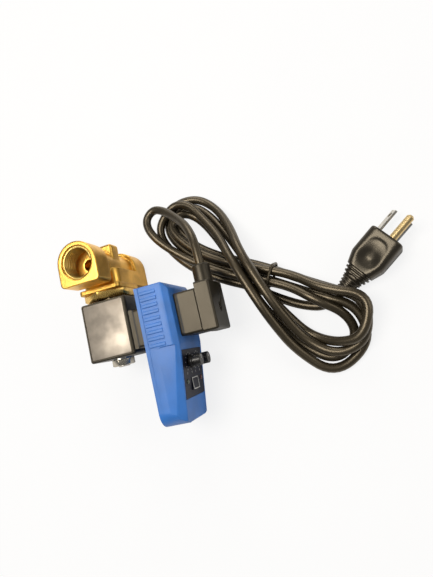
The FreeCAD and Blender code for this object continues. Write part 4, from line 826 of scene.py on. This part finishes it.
@dataclass
class BrassValve:
    """The cast body with threads in its ports, and the bonnet. Sizes are in mm."""

    port_half: float = 34.6
    lead_in: float = 1.3
    bore: float = 10.48
    crest: float = 9.0
    root_sunk: float = 0.1
    pitch: float = 1.814
    turns: int = 7
    voxel: float = 0.45
    passes: int = 4

    def build(self, paints: Paints) -> None:
        """Make and dress the brass pieces.

        Args:
            paints: The materials.
        """
        casting = Bench.traced("brass_casting", "valve_body").recast(
            self.voxel, self.passes)
        casting.set_down(paints, Stock.CAST_BRASS, "brass", stands_for=("valve_body",),
                         smooth=60.0)
        bonnet = Bench.traced("bonnet_hexagon", "bonnet").soften(0.35)
        bonnet.set_down(paints, Stock.TURNED_BRASS, "brass", stands_for=("bonnet",))
        upper = self.thread()
        lower = upper.copied("lower_port_thread", Matrix.Rotation(math.pi, 4, "Z"))
        # The port threads get the brighter brass with painted light.
        for thread in (upper, lower):
            thread.set_down(paints, Stock.PAINTED_LIT_BORE_BRASS, "brass", smooth=170.0)
        FlowArrow().build(paints)

    def thread(self) -> Bench:
        """A three-cornered ridge wound round inside the upper port.

        Returns:
            The bench with the closed ridge.
        """
        hands_off()
        # A triangle is one and a half times as high as the radius round it.
        size = (self.bore + self.root_sunk - self.crest) / 1.5
        bpy.ops.mesh.primitive_circle_add(
            vertices=3, radius=size, fill_type="NGON", rotation=(0.0, 0.0, math.pi / 2),
            location=(self.crest + size, self.port_half - self.lead_in, 0.0))
        bpy.ops.object.transform_apply(location=True, rotation=True, scale=True)
        thread = Bench("upper_port_thread", bpy.context.object)
        thread.use("SCREW", axis="Y", screw_offset=-self.pitch, iterations=self.turns,
                   steps=40, render_steps=40, use_smooth_shade=True)
        thread.edit(Select.EDGES)
        bpy.ops.mesh.select_non_manifold()
        bpy.ops.mesh.fill_holes(sides=3)
        return thread.outward()


@dataclass
class Coil:
    """The coil's bare type plate in its rim, the socket and the nut. Sizes are in mm."""

    low: Triple = (-14.4, 14.85, 24.3)
    high: Triple = (16.0, 15.5, 61.6)
    corner: float = 1.4
    plate_corner: float = 0.9
    rim: float = 0.8
    recess: float = 0.4
    overlap: float = 0.1

    def build(self, paints: Paints) -> None:
        """Make and dress the coil's pieces.

        Args:
            paints: The materials.
        """
        def upright(middle: Vector, ahead: Vector) -> bool:
            """Tell whether an edge stands off the coil's face."""
            return abs(ahead.y) > 0.9

        rim = Bench.block("type_plate_rim", self.low, self.high)
        rim.soften(self.corner, segments=3, wanted=upright, least=0.1)
        rim.pick(lambda middle, normal: normal.y > 0.9)
        bpy.ops.mesh.inset(thickness=self.rim, depth=0.0)
        bpy.ops.mesh.extrude_region_move(
            TRANSFORM_OT_translate={"value": (0.0, -self.recess, 0.0)})
        rim.outward().set_down(paints, Stock.BLACK_CASE, "black_plastic")
        edge = self.rim + self.overlap
        plate = Bench.block(
            "type_plate",
            (self.low[0] + edge, self.low[1] + self.overlap, self.low[2] + edge),
            (self.high[0] - edge, self.high[1] - self.recess / 2, self.high[2] - edge))
        plate.soften(self.plate_corner, segments=3, wanted=upright, least=0.1)
        plate.soften(0.06, least=0.3, wanted=lambda middle, ahead: abs(ahead.y) < 0.5)
        plate.set_down(paints, Stock.PLATE, "black_plastic")
        Bench.traced("socket_moulding", "coil_socket").soften(0.5).set_down(
            paints, Stock.BLACK_CASE, "black_plastic", stands_for=("coil_socket",))
        nut = Bench.traced("clamping_nut", "coil_nut").soften(0.25, least=1.0)
        nut.set_down(paints, Stock.BRIGHT_STEEL, "steel", stands_for=("coil_nut",))


@dataclass
class Timer:
    """The moulded timer: shell, fluted knobs, printed panel and button. Sizes are in mm.

    The knob's profile gives the radius and the distance from the plunger's axis of each ring.
    """

    knob_off: float = 7.2
    knob_level: float = 74.8
    knob_profile: Sequence[tuple[float, float]] = (
        (2.0, 38.0), (2.0, 49.1), (4.2, 49.1), (4.3, 49.3), (4.3, 51.0), (4.1, 51.3),
        (3.3, 51.4), (3.3, 52.2), (3.85, 52.4), (3.85, 56.4), (3.7, 56.8), (3.2, 57.0))
    flutes: float = 12.0
    flute_band: tuple[float, float] = (52.5, 56.3)
    flute_depth: float = 0.22
    dish_level: float = 56.9
    dish_depth: float = 0.25
    mark_low: Triple = (0.5, -0.28, 56.7)
    mark_high: Triple = (2.6, 0.28, 56.95)
    tick_low: Triple = (-0.14, 5.0, -0.05)
    tick_high: Triple = (0.14, 6.1, 0.06)
    tick_count: int = 11
    sweep: float = 150.0
    tick_step: float = 30.0
    number_aside: float = 3.9
    number_drop: float = 7.6
    number_size: float = 2.2
    button_level: float = 88.6
    button_face: float = 47.21
    button_half: tuple[float, float] = (5.3, 3.7)
    line_sunk: float = 0.1
    line_proud: float = 0.08
    line_width: float = 0.5

    def build(self, paints: Paints) -> None:
        """Make and dress the timer's pieces.

        Args:
            paints: The materials.
        """
        shell = Bench.traced("timer_shell", "timer_housing").soften(0.5, least=6.0)
        shell.set_down(paints, Stock.BLUE_CASE, "blue_plastic",
                       stands_for=("timer_housing",), smooth=13.0)
        self.knob_pair(paints)
        self.marks(paints)
        self.button_line(paints)

    def knob_pair(self, paints: Paints) -> None:
        """Two knobs: one turned, fluted, hollowed and marked, the other its copy.

        Args:
            paints: The materials.
        """
        knob = Bench.turned("interval_dial", self.knob_profile, 36)
        low, high = self.flute_band
        knob.pick(lambda middle, normal: low < middle.z < high and abs(normal.z) < 0.1
                  and math.cos(self.flutes * math.atan2(middle.y, middle.x)) > 0.0)
        bpy.ops.mesh.inset(thickness=0.06, depth=-self.flute_depth, use_individual=True)
        knob.pick(lambda middle, normal: normal.z > 0.9 and middle.z > self.dish_level)
        bpy.ops.mesh.inset(thickness=0.5, depth=-self.dish_depth)
        knob.soften(0.08, sharp=50.0, least=0.2, segments=1)
        mark = Bench.block("interval_dial_mark", self.mark_low, self.mark_high)
        mark.soften(0.1, least=0.2)
        for bench, stock in ((knob, Stock.GLOSSY_BLACK), (mark, Stock.PRINT)):
            bench.aimed(Vector((0.0, self.knob_off, self.knob_level)), Vector((1.0, 0.0, 0.0)))
            other = bench.copied(bench.piece.name.replace("interval", "duration"),
                                 Matrix.Translation((0.0, -2 * self.knob_off, 0.0)))
            for piece, node in ((bench, "interval_knob"), (other, "duration_knob")):
                stands = (node,) if bench is knob else ()
                piece.set_down(paints, stock, "black_plastic", body=node, stands_for=stands)

    def marks(self, paints: Paints) -> None:
        """Plain printed ticks round each knob, with plain numbers under them.

        Args:
            paints: The materials.
        """
        up = (PANEL_MIDDLE - self.knob_level) / math.cos(FRONT_SLOPE)
        tick = Bench.block("tick", self.tick_low, self.tick_high)
        tick.soften(0.04, least=0.1, segments=1)
        made: list[Bench] = []
        for middle in (-self.knob_off, self.knob_off):
            for step in range(self.tick_count):
                turn = math.radians(self.sweep - self.tick_step * step)
                made.append(tick.copied("tick", Matrix.Translation((middle, up, 0.0))
                                        @ Matrix.Rotation(turn, 4, "Z")))
            for word, aside in (("1", -self.number_aside), ("9", self.number_aside)):
                made.append(self.number(word, middle + aside, up - self.number_drop))
        bpy.data.objects.remove(tick.piece)
        Bench.joined("panel_marks", made).set_down(paints, Stock.PRINT, "panel_black",
                                                   place=PANEL)

    def number(self, word: str, x: float, y: float) -> Bench:
        """A plain printed number on the panel.

        Args:
            word: The number.
            x: Place of its middle on the panel.
            y: Place of its foot on the panel.

        Returns:
            The bench with the number.
        """
        hands_off()
        bpy.ops.object.text_add(location=(0.0, 0.0, 0.0))
        text = bpy.context.object.data
        text.body = word
        text.size = self.number_size
        text.extrude = 0.05
        text.align_x = "CENTER"
        bpy.ops.object.convert(target="MESH")
        bpy.context.object.data.transform(Matrix.Translation((x, y, 0.0)))
        return Bench("number", bpy.context.object)

    def button_line(self, paints: Paints) -> None:
        """A thin pale line round the face of the test button, which moves with it.

        Args:
            paints: The materials.
        """
        face, level = self.button_face, self.button_level
        across, along = self.button_half
        line = Bench.block("button_outline", (face - self.line_sunk, -across, level - along),
                           (face + self.line_proud, across, level + along))
        line.soften(0.6, segments=3, least=0.1, wanted=lambda middle, ahead: abs(ahead.x) > 0.9)
        line.pick(lambda middle, normal: abs(normal.x) > 0.9)
        bpy.ops.mesh.inset(thickness=self.line_width, depth=0.0, use_individual=True)
        bpy.ops.mesh.bridge_edge_loops()
        line.outward().set_down(paints, Stock.PRINT, "panel_black", body="test_button")


@dataclass
class CordPlug:
    """The square cord plug and the power inlet under it. Sizes are in mm."""

    step: float = 64.5
    groove: float = 0.7
    half: float = 14.0
    far_side: float = 57.5

    def build(self, paints: Paints) -> None:
        """Round the mouldings of the plug, with a groove at the hood's step.

        Args:
            paints: The materials.
        """
        hood = Bench.traced("plug_cover", "plug_hood")
        for level in (self.step - self.groove, self.step - 0.05):
            bpy.ops.mesh.select_all(action="SELECT")
            bpy.ops.mesh.bisect(plane_co=(level, 0.0, 0.0), plane_no=(1.0, 0.0, 0.0))
        hood.pick(self.in_groove)
        bpy.ops.mesh.inset(thickness=0.02, depth=-self.groove, use_outset=False)
        hood.soften(0.35, least=5.0)
        hood.set_down(paints, Stock.BLACK_CASE, "black_plastic", stands_for=("plug_hood",),
                      smooth=20.0)
        Bench.traced("inlet_moulding", "inlet_base").soften(0.4, least=4.0).set_down(
            paints, Stock.BLACK_CASE, "black_plastic", stands_for=("inlet_base",))

    def in_groove(self, middle: Vector, normal: Vector) -> bool:
        """Tell whether a face of the hood's outer walls lies in the groove's band.

        Args:
            middle: Middle of the face.
            normal: Its normal.

        Returns:
            True for a face of the band.
        """
        across = abs(middle.y)
        side_wall = across > self.half - 1.0
        far_wall = abs(normal.z) > 0.7 and middle.z > self.far_side
        return (self.step - self.groove < middle.x < self.step and abs(normal.x) < 0.3
                and across < self.half + 0.2 and (side_wall or far_wall))


@dataclass
class MouldedPlug:
    """The mains plug on the cord: its soft body, ribbed relief and blades. Sizes are in mm.

    Neck grooves give their distance from the joint with the relief. Thumb rests are pressed
    in twice, each time at a distance from that joint and by a depth.
    """

    voxel: float = 0.4
    passes: int = 45
    neck_grooves: Sequence[float] = (1.6, 4.1, 6.6)
    groove_half: float = 0.65
    neck_left: float = 0.86
    thumb_rests: Sequence[tuple[float, float]] = ((14.0, 1.1), (18.5, 1.5))
    thumb_spot: float = 1.5
    thumb_above: float = 3.0
    thumb_spread: float = 7.5
    ribs: int = 4
    rib_radius: float = 6.5
    taper: float = 1.9
    hole_radius: float = 1.7
    hole_along: float = 46.0
    hole_off: float = 5.5

    def build(self, paints: Paints) -> list[bpy.types.Object]:
        """Make and dress the plug's pieces, and return them."""
        return [self.body(paints), self.relief(paints), self.blades(paints)]

    def body(self, paints: Paints) -> bpy.types.Object:
        """The soft body with its thumb rests and its grooved neck.

        Args:
            paints: The materials.

        Returns:
            The object.
        """
        body = Bench.traced("moulded_plug", "mains_plug", PLUG_PLACE).recast(
            self.voxel, self.passes)
        for side in (1.0, -1.0):
            self.scoop(body, side)
        body.use("SMOOTH", factor=0.5, iterations=12)
        for along in self.neck_grooves:
            body.pick_corners(lambda place: abs(place.x - along) < self.groove_half)
            bpy.ops.transform.resize(value=(1.0, self.neck_left, self.neck_left),
                                     center_override=(along, 0.0, 0.0))
        return body.set_down(paints, Stock.PLUG_BODY, "cord_black", place=PLUG_PLACE,
                             stands_for=("mains_plug",), smooth=80.0)

    def scoop(self, body: Bench, side: float) -> None:
        """Press a thumb rest into one broad side of the plug.

        Args:
            body: Bench with the plug's body.
            side: 1 for the side towards the bench's z, -1 for the other.
        """
        for along, depth in self.thumb_rests:
            body.pick_corners(
                lambda place: math.hypot(place.x - along, place.y) < self.thumb_spot
                and place.z * side > self.thumb_above)
            bpy.ops.transform.translate(
                value=(0.0, 0.0, -side * depth), use_proportional_edit=True,
                proportional_edit_falloff="SMOOTH", proportional_size=self.thumb_spread,
                use_proportional_connected=True)

    def relief(self, paints: Paints) -> bpy.types.Object:
        """The ribbed relief, which narrows along the cord.

        Args:
            paints: The materials.

        Returns:
            The object.
        """
        profile = [(5.4, -1.5), (6.3, 0.0)]
        pitch = RELIEF_LENGTH / self.ribs
        # Each rib stands for half its pitch, then falls to a gap about 1 mm deep.
        for rib in range(self.ribs):
            start = rib * pitch
            wide = self.rib_radius - self.taper * start / RELIEF_LENGTH
            profile += [(wide, start + 0.15), (wide, start + pitch * 0.52),
                        (wide - 0.9, start + pitch * 0.62), (wide - 1.0, start + pitch * 0.95)]
        profile += [(3.7, RELIEF_LENGTH), (3.2, RELIEF_LENGTH + 0.1)]
        relief = Bench.turned("ribbed_relief", profile, 36)
        relief.soften(0.2, least=0.2, sharp=40.0)
        relief.aimed(PLUG_JOINT, -PLUG_AXIS)
        return relief.set_down(paints, Stock.PLUG_BODY, "cord_black", place=TABLE,
                               stands_for=("mains_relief",))

    def blades(self, paints: Paints) -> bpy.types.Object:
        """The two flat blades with their holes, their edges broken.

        Args:
            paints: The materials.

        Returns:
            The object.
        """
        blades = Bench.traced("pierced_blades", "mains_blades", PLUG_PLACE)
        aside, up = math.cos(PLUG_ROLL), math.sin(PLUG_ROLL)
        drill = Bench.turned("drill", ((self.hole_radius, -10.0), (self.hole_radius, 10.0)), 24)
        drill.aimed(Vector((self.hole_along, self.hole_off * aside, -self.hole_off * up)),
                    Vector((0.0, -up, -aside)))
        blades.use("BOOLEAN", object=drill.piece, operation="DIFFERENCE", solver="EXACT")
        bpy.data.objects.remove(drill.piece)
        blades.soften(0.22, least=1.2, sharp=60.0)
        return blades.set_down(paints, Stock.PLATED_STEEL, "steel", place=PLUG_PLACE,
                               stands_for=("mains_blades",), smooth=20.0)


# ---- studio ----


@dataclass
class Studio:
    """Floor, lamps and the camera of the photograph.

    The focal length is in pixels. A lamp has a name, a place, a size and a power.
    """

    image: tuple[int, int] = (433, 577)
    focal: float = 434.0
    eye: Triple = (0.11662, -0.06212, 0.28849)
    right: Triple = (0.93148, -0.18473, -0.31340)
    down: Triple = (-0.25616, -0.94476, -0.20447)
    view: Triple = (-0.25832, 0.27074, -0.92734)
    floor_size: float = 4.0
    floor_glow: float = 0.82
    room_light: float = 0.2
    room_colour: Triple = (0.95, 0.97, 1.0)
    lamp_colour: Triple = (1.0, 0.95, 0.88)
    aim: Triple = (0.04, 0.02, 0.02)
    soft_boxes: Sequence[tuple[str, Triple, float, float]] = (
        ("above", (-0.22, 0.02, 0.98), 0.55, 7.4), ("right", (0.95, 0.05, 0.55), 0.7, 2.2),
        ("back", (0.10, 0.95, 0.55), 0.7, 4.0))

    def build(self) -> None:
        """Make everything that isn't the object."""
        self.camera()
        self.floor()
        self.lamps()
        self.world()
        bpy.context.scene.view_settings.view_transform = "Standard"

    def camera(self) -> None:
        """A camera whose long side has the focal length in pixels."""
        data = bpy.data.cameras.new("camera")
        data.sensor_width = 36.0
        data.lens = self.focal / max(self.image) * data.sensor_width
        data.clip_start = 0.01
        data.clip_end = 20.0
        camera = bpy.data.objects.new("camera", data)
        axes = Matrix((self.right, tuple(-d for d in self.down),
                       tuple(-v for v in self.view))).transposed()
        camera.matrix_world = Matrix.Translation(self.eye) @ axes.to_4x4()
        bpy.context.scene.collection.objects.link(camera)
        bpy.context.scene.camera = camera

    def floor(self) -> None:
        """A wide pale floor that glows for the camera, so that its shadows stay faint."""
        bpy.ops.mesh.primitive_grid_add(x_subdivisions=8, y_subdivisions=8,
                                        size=self.floor_size, location=(0, 0, 0))
        floor = bpy.context.object
        floor.name = "floor"
        paint = Paint("pale_floor")
        speckle = paint.noise(0.05, 4.0).ramp(0.3, 0.7)
        paint.set(Base_Color=paint.blend(speckle, (0.88, 0.88, 0.88), (0.90, 0.90, 0.90)),
                  Roughness=0.9)
        glow = paint.node("ShaderNodeEmission", None,
                          {"Color": (1.0, 1.0, 1.0), "Strength": 1.0})
        seen = paint.node("ShaderNodeLightPath")
        mixed = paint.node("ShaderNodeMixShader", None,
                           {0: self.floor_glow * seen.out("Is Camera Ray"),
                            1: paint.shader.out("BSDF"), 2: glow.out("Emission")})
        paint.feed(paint.output.node.inputs["Surface"], mixed.out("Shader"))
        floor.data.materials.append(paint.material)

    def lamps(self) -> None:
        """Warm soft boxes that face the valve: the key above, one at the right, one behind."""
        for name, place, size, power in self.soft_boxes:
            light = bpy.data.lights.new(name, "AREA")
            light.color = self.lamp_colour
            light.shape = "DISK"
            light.size = size
            light.energy = power
            lamp = bpy.data.objects.new(name, light)
            lamp.location = place
            lamp.rotation_mode = "QUATERNION"
            lamp.rotation_quaternion = (
                Vector(self.aim) - Vector(place)).to_track_quat("-Z", "Y")
            bpy.context.scene.collection.objects.link(lamp)

    def world(self) -> None:
        """An even pale surround, which the camera sees as white."""
        world = bpy.data.worlds.new("surround")
        bpy.context.scene.world = world
        world.use_nodes = True
        board = NodeBoard(world.node_tree)
        seen = board.node("ShaderNodeLightPath")
        room = board.node("ShaderNodeBackground", None,
                          {"Color": self.room_colour, "Strength": self.room_light})
        white = board.node("ShaderNodeBackground", None,
                           {"Color": (1.0, 1.0, 1.0), "Strength": 1.0})
        mixed = board.node("ShaderNodeMixShader", None,
                           {0: seen.out("Is Camera Ray"), 1: room.out("Background"),
                            2: white.out("Background")})
        board.node("ShaderNodeOutputWorld", None, {"Surface": mixed.out("Shader")})


# ---- cord ----


@dataclass
class MainsCord:
    """The mains cord: one smooth line from the cord plug through the hank to the mains plug.

    Stations go once round the eight, from the tip of the left lobe: x and y on the table in
    mm, and the direction of travel. Lanes give each loop's place at a station: how far left
    of the middle of the bundle, and how high. The mouth is in the upright valve's mm, and the
    length is in metres.
    """

    radius: float = 3.0
    length: float = 1.80
    mouth: Triple = (67.3, 0.0, 15.8)
    straight: float = 14.0
    plug_run: float = 12.5
    lead: Sequence[Triple] = ((32.5, 61.0, 31.5), (23.5, 73.0, 24.0), (14.0, 83.5, 19.6))
    tail: Sequence[Triple] = ((64.6, 14.4, 5.5), (75.9, 4.5, 5.5), (94.0, -6.5, 3.0))
    stations: Sequence[tuple[float, float, tuple[float, float]]] = (
        (17.0, 90.0, (-0.88, -0.47)), (6.0, 73.5, (0.06, -1.0)), (23.0, 50.0, (0.70, -0.72)),
        (46.0, 33.0, (0.86, -0.50)), (68.0, 21.5, (0.90, -0.43)), (90.0, 11.0, (0.86, -0.50)),
        (108.0, -2.0, (0.72, -0.69)), (127.5, -15.0, (0.35, -0.94)),
        (124.5, -35.5, (-0.60, -0.80)), (106.0, -44.0, (-0.93, 0.36)),
        (88.0, -30.0, (-0.60, 0.80)), (78.5, -14.0, (-0.48, 0.88)), (71.0, 2.0, (-0.40, 0.92)),
        (60.0, 33.0, (-0.36, 0.93)), (52.0, 56.0, (-0.40, 0.92)), (43.0, 78.0, (-0.55, 0.83)),
        (32.0, 89.5, (-0.90, 0.43)))
    lanes: Sequence[dict[int, tuple[float, float]]] = (
        {2: (9.0, 9.4), 3: (2.5, 3.0), 4: (-4.7, 3.0), 5: (-0.5, 10.8)},
        {2: (5.6, 10.4), 3: (8.6, 3.0), 4: (0.7, 3.0), 5: (-5.8, 8.4)},
        {1: (-3.9, 9.0), 2: (3.9, 9.0), 3: (7.8, 3.0), 4: (0.0, 3.0), 5: (-7.8, 3.0)},
        {1: (-3.9, 10.6), 2: (3.9, 10.5), 3: (7.8, 4.8), 4: (0.0, 4.8), 5: (-7.8, 4.8)},
        {1: (-3.9, 11.6), 2: (3.9, 11.8), 3: (7.8, 5.5), 4: (0.0, 5.5)},
        {1: (-4.1, 13.2), 2: (3.6, 12.9), 3: (3.9, 5.3), 4: (-3.2, 5.1)},
        {1: (-7.6, 18.4), 2: (0.2, 20.6), 3: (3.3, 13.7), 4: (-3.2, 12.0)},
        {1: (-9.6, 9.9), 2: (7.5, 21.0), 3: (4.9, 14.2), 4: (-1.4, 9.8)},
        {1: (-3.8, 3.0), 2: (0.2, 18.4), 3: (2.7, 10.9), 4: (4.6, 3.0)},
        {1: (2.0, 3.0), 2: (-9.0, 11.7), 3: (-1.3, 9.8), 4: (10.5, 3.0)},
        {1: (2.1, 3.0), 2: (-6.4, 3.0), 3: (-2.1, 9.4), 4: (6.6, 9.4)},
        {1: (2.8, 9.8), 2: (-4.9, 9.8), 3: (-2.9, 18.3), 4: (5.0, 18.3)},
        {1: (3.6, 18.4), 2: (-3.6, 18.4), 3: (-3.6, 25.8), 4: (3.6, 25.8)},
        {1: (3.7, 19.3), 2: (-3.7, 19.3), 3: (-3.7, 26.4), 4: (3.7, 26.4)},
        {1: (5.4, 7.0), 2: (-1.6, 7.0), 3: (-6.6, 13.4), 4: (3.2, 15.4)},
        {1: (7.6, 4.0), 2: (0.6, 3.0), 3: (-6.5, 3.0), 4: (6.0, 11.5)},
        {1: (8.6, 6.0), 2: (1.2, 3.0), 3: (-5.6, 3.0), 4: (3.2, 12.4)})
    first_bend: Sequence[Triple] = ((4.5, 88.5, 17.8), (-3.5, 80.5, 17.0), (2.0, 65.5, 15.8))

    def route(self) -> list[Vector]:
        """The route's points, at most a few millimetres off the CAD's cord.

        Returns:
            The points in metres, from the cord plug on.
        """
        mouth = laid(*self.mouth) / MM
        out = laid(self.mouth[0], self.mouth[1], self.mouth[2] - 1.0) / MM - mouth
        points = [mouth, mouth + out * self.straight]
        points += [Vector(point) for point in (*self.lead, *self.first_bend)]
        for loop in range(1, 6):
            points += [self.slot(station, loop) for station, lanes in enumerate(self.lanes)
                       if loop in lanes]
        points += [Vector(point) for point in self.tail]
        return [point * MM for point in points + self.into_plug()]

    def slot(self, station: int, loop: int) -> Vector:
        """Point of a loop at a station.

        Args:
            station: Number of the station.
            loop: Number of the loop.

        Returns:
            The point, in mm on the table.
        """
        x, y, heading = self.stations[station]
        ahead = Vector(heading).normalized()
        lane, height = self.lanes[station][loop]
        return Vector((x - ahead.y * lane, y + ahead.x * lane, height))

    def into_plug(self) -> list[Vector]:
        """The last two points, straight into the relief of the mains plug.

        Returns:
            The points, in mm on the table.
        """
        relief = PLUG_JOINT - PLUG_AXIS * RELIEF_LENGTH
        before = relief - PLUG_AXIS * self.plug_run
        before.z = max(before.z, self.radius)
        return [before, relief]

    def build(self, paints: Paints, with_it: list[bpy.types.Object]) -> None:
        """Args:
            paints: The materials.
            with_it: Pieces of the mains plug; not used.
        """
        points = self.route()
        curve = bpy.data.curves.new("mains_cord", "CURVE")
        curve.dimensions = "3D"
        curve.resolution_u = 8
        curve.bevel_depth = self.radius * MM
        curve.bevel_resolution = 5
        curve.use_fill_caps = True
        line = curve.splines.new("NURBS")
        line.points.add(len(points) - 1)
        for spot, point in zip(line.points, points):
            spot.co = (*point, 1.0)
        line.order_u = 3
        line.use_endpoint_u = True
        cord = bpy.data.objects.new("mains_cord", curve)
        bpy.context.scene.collection.objects.link(cord)
        paints.give(Stock.SHEATH, cord)
        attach(cord, "valve")
        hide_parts("cord_lead", "cord_hank", "cord_tail")
        with_it + ["ground_pin", "cord_tie"]
        LOG.info("cord laid on %d points", len(points))


def main() -> None:
    """Build the studio and every piece in order."""
    logging.basicConfig(level=logging.INFO, format="%(name)s: %(message)s")
    bpy.ops.object.select_all(action="DESELECT")
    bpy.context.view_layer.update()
    paints = Paints()
    Studio().build()
    MainsCord().build(paints, MouldedPlug().build(paints))
    for maker in (BrassValve(), Coil(), Timer(), CordPlug()):
        maker.build(paints)
    for stock, names in NODE_STOCK.items():
        paints.give(stock, *(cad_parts[name] for name in names))


if __name__ == "__main__":
    main()
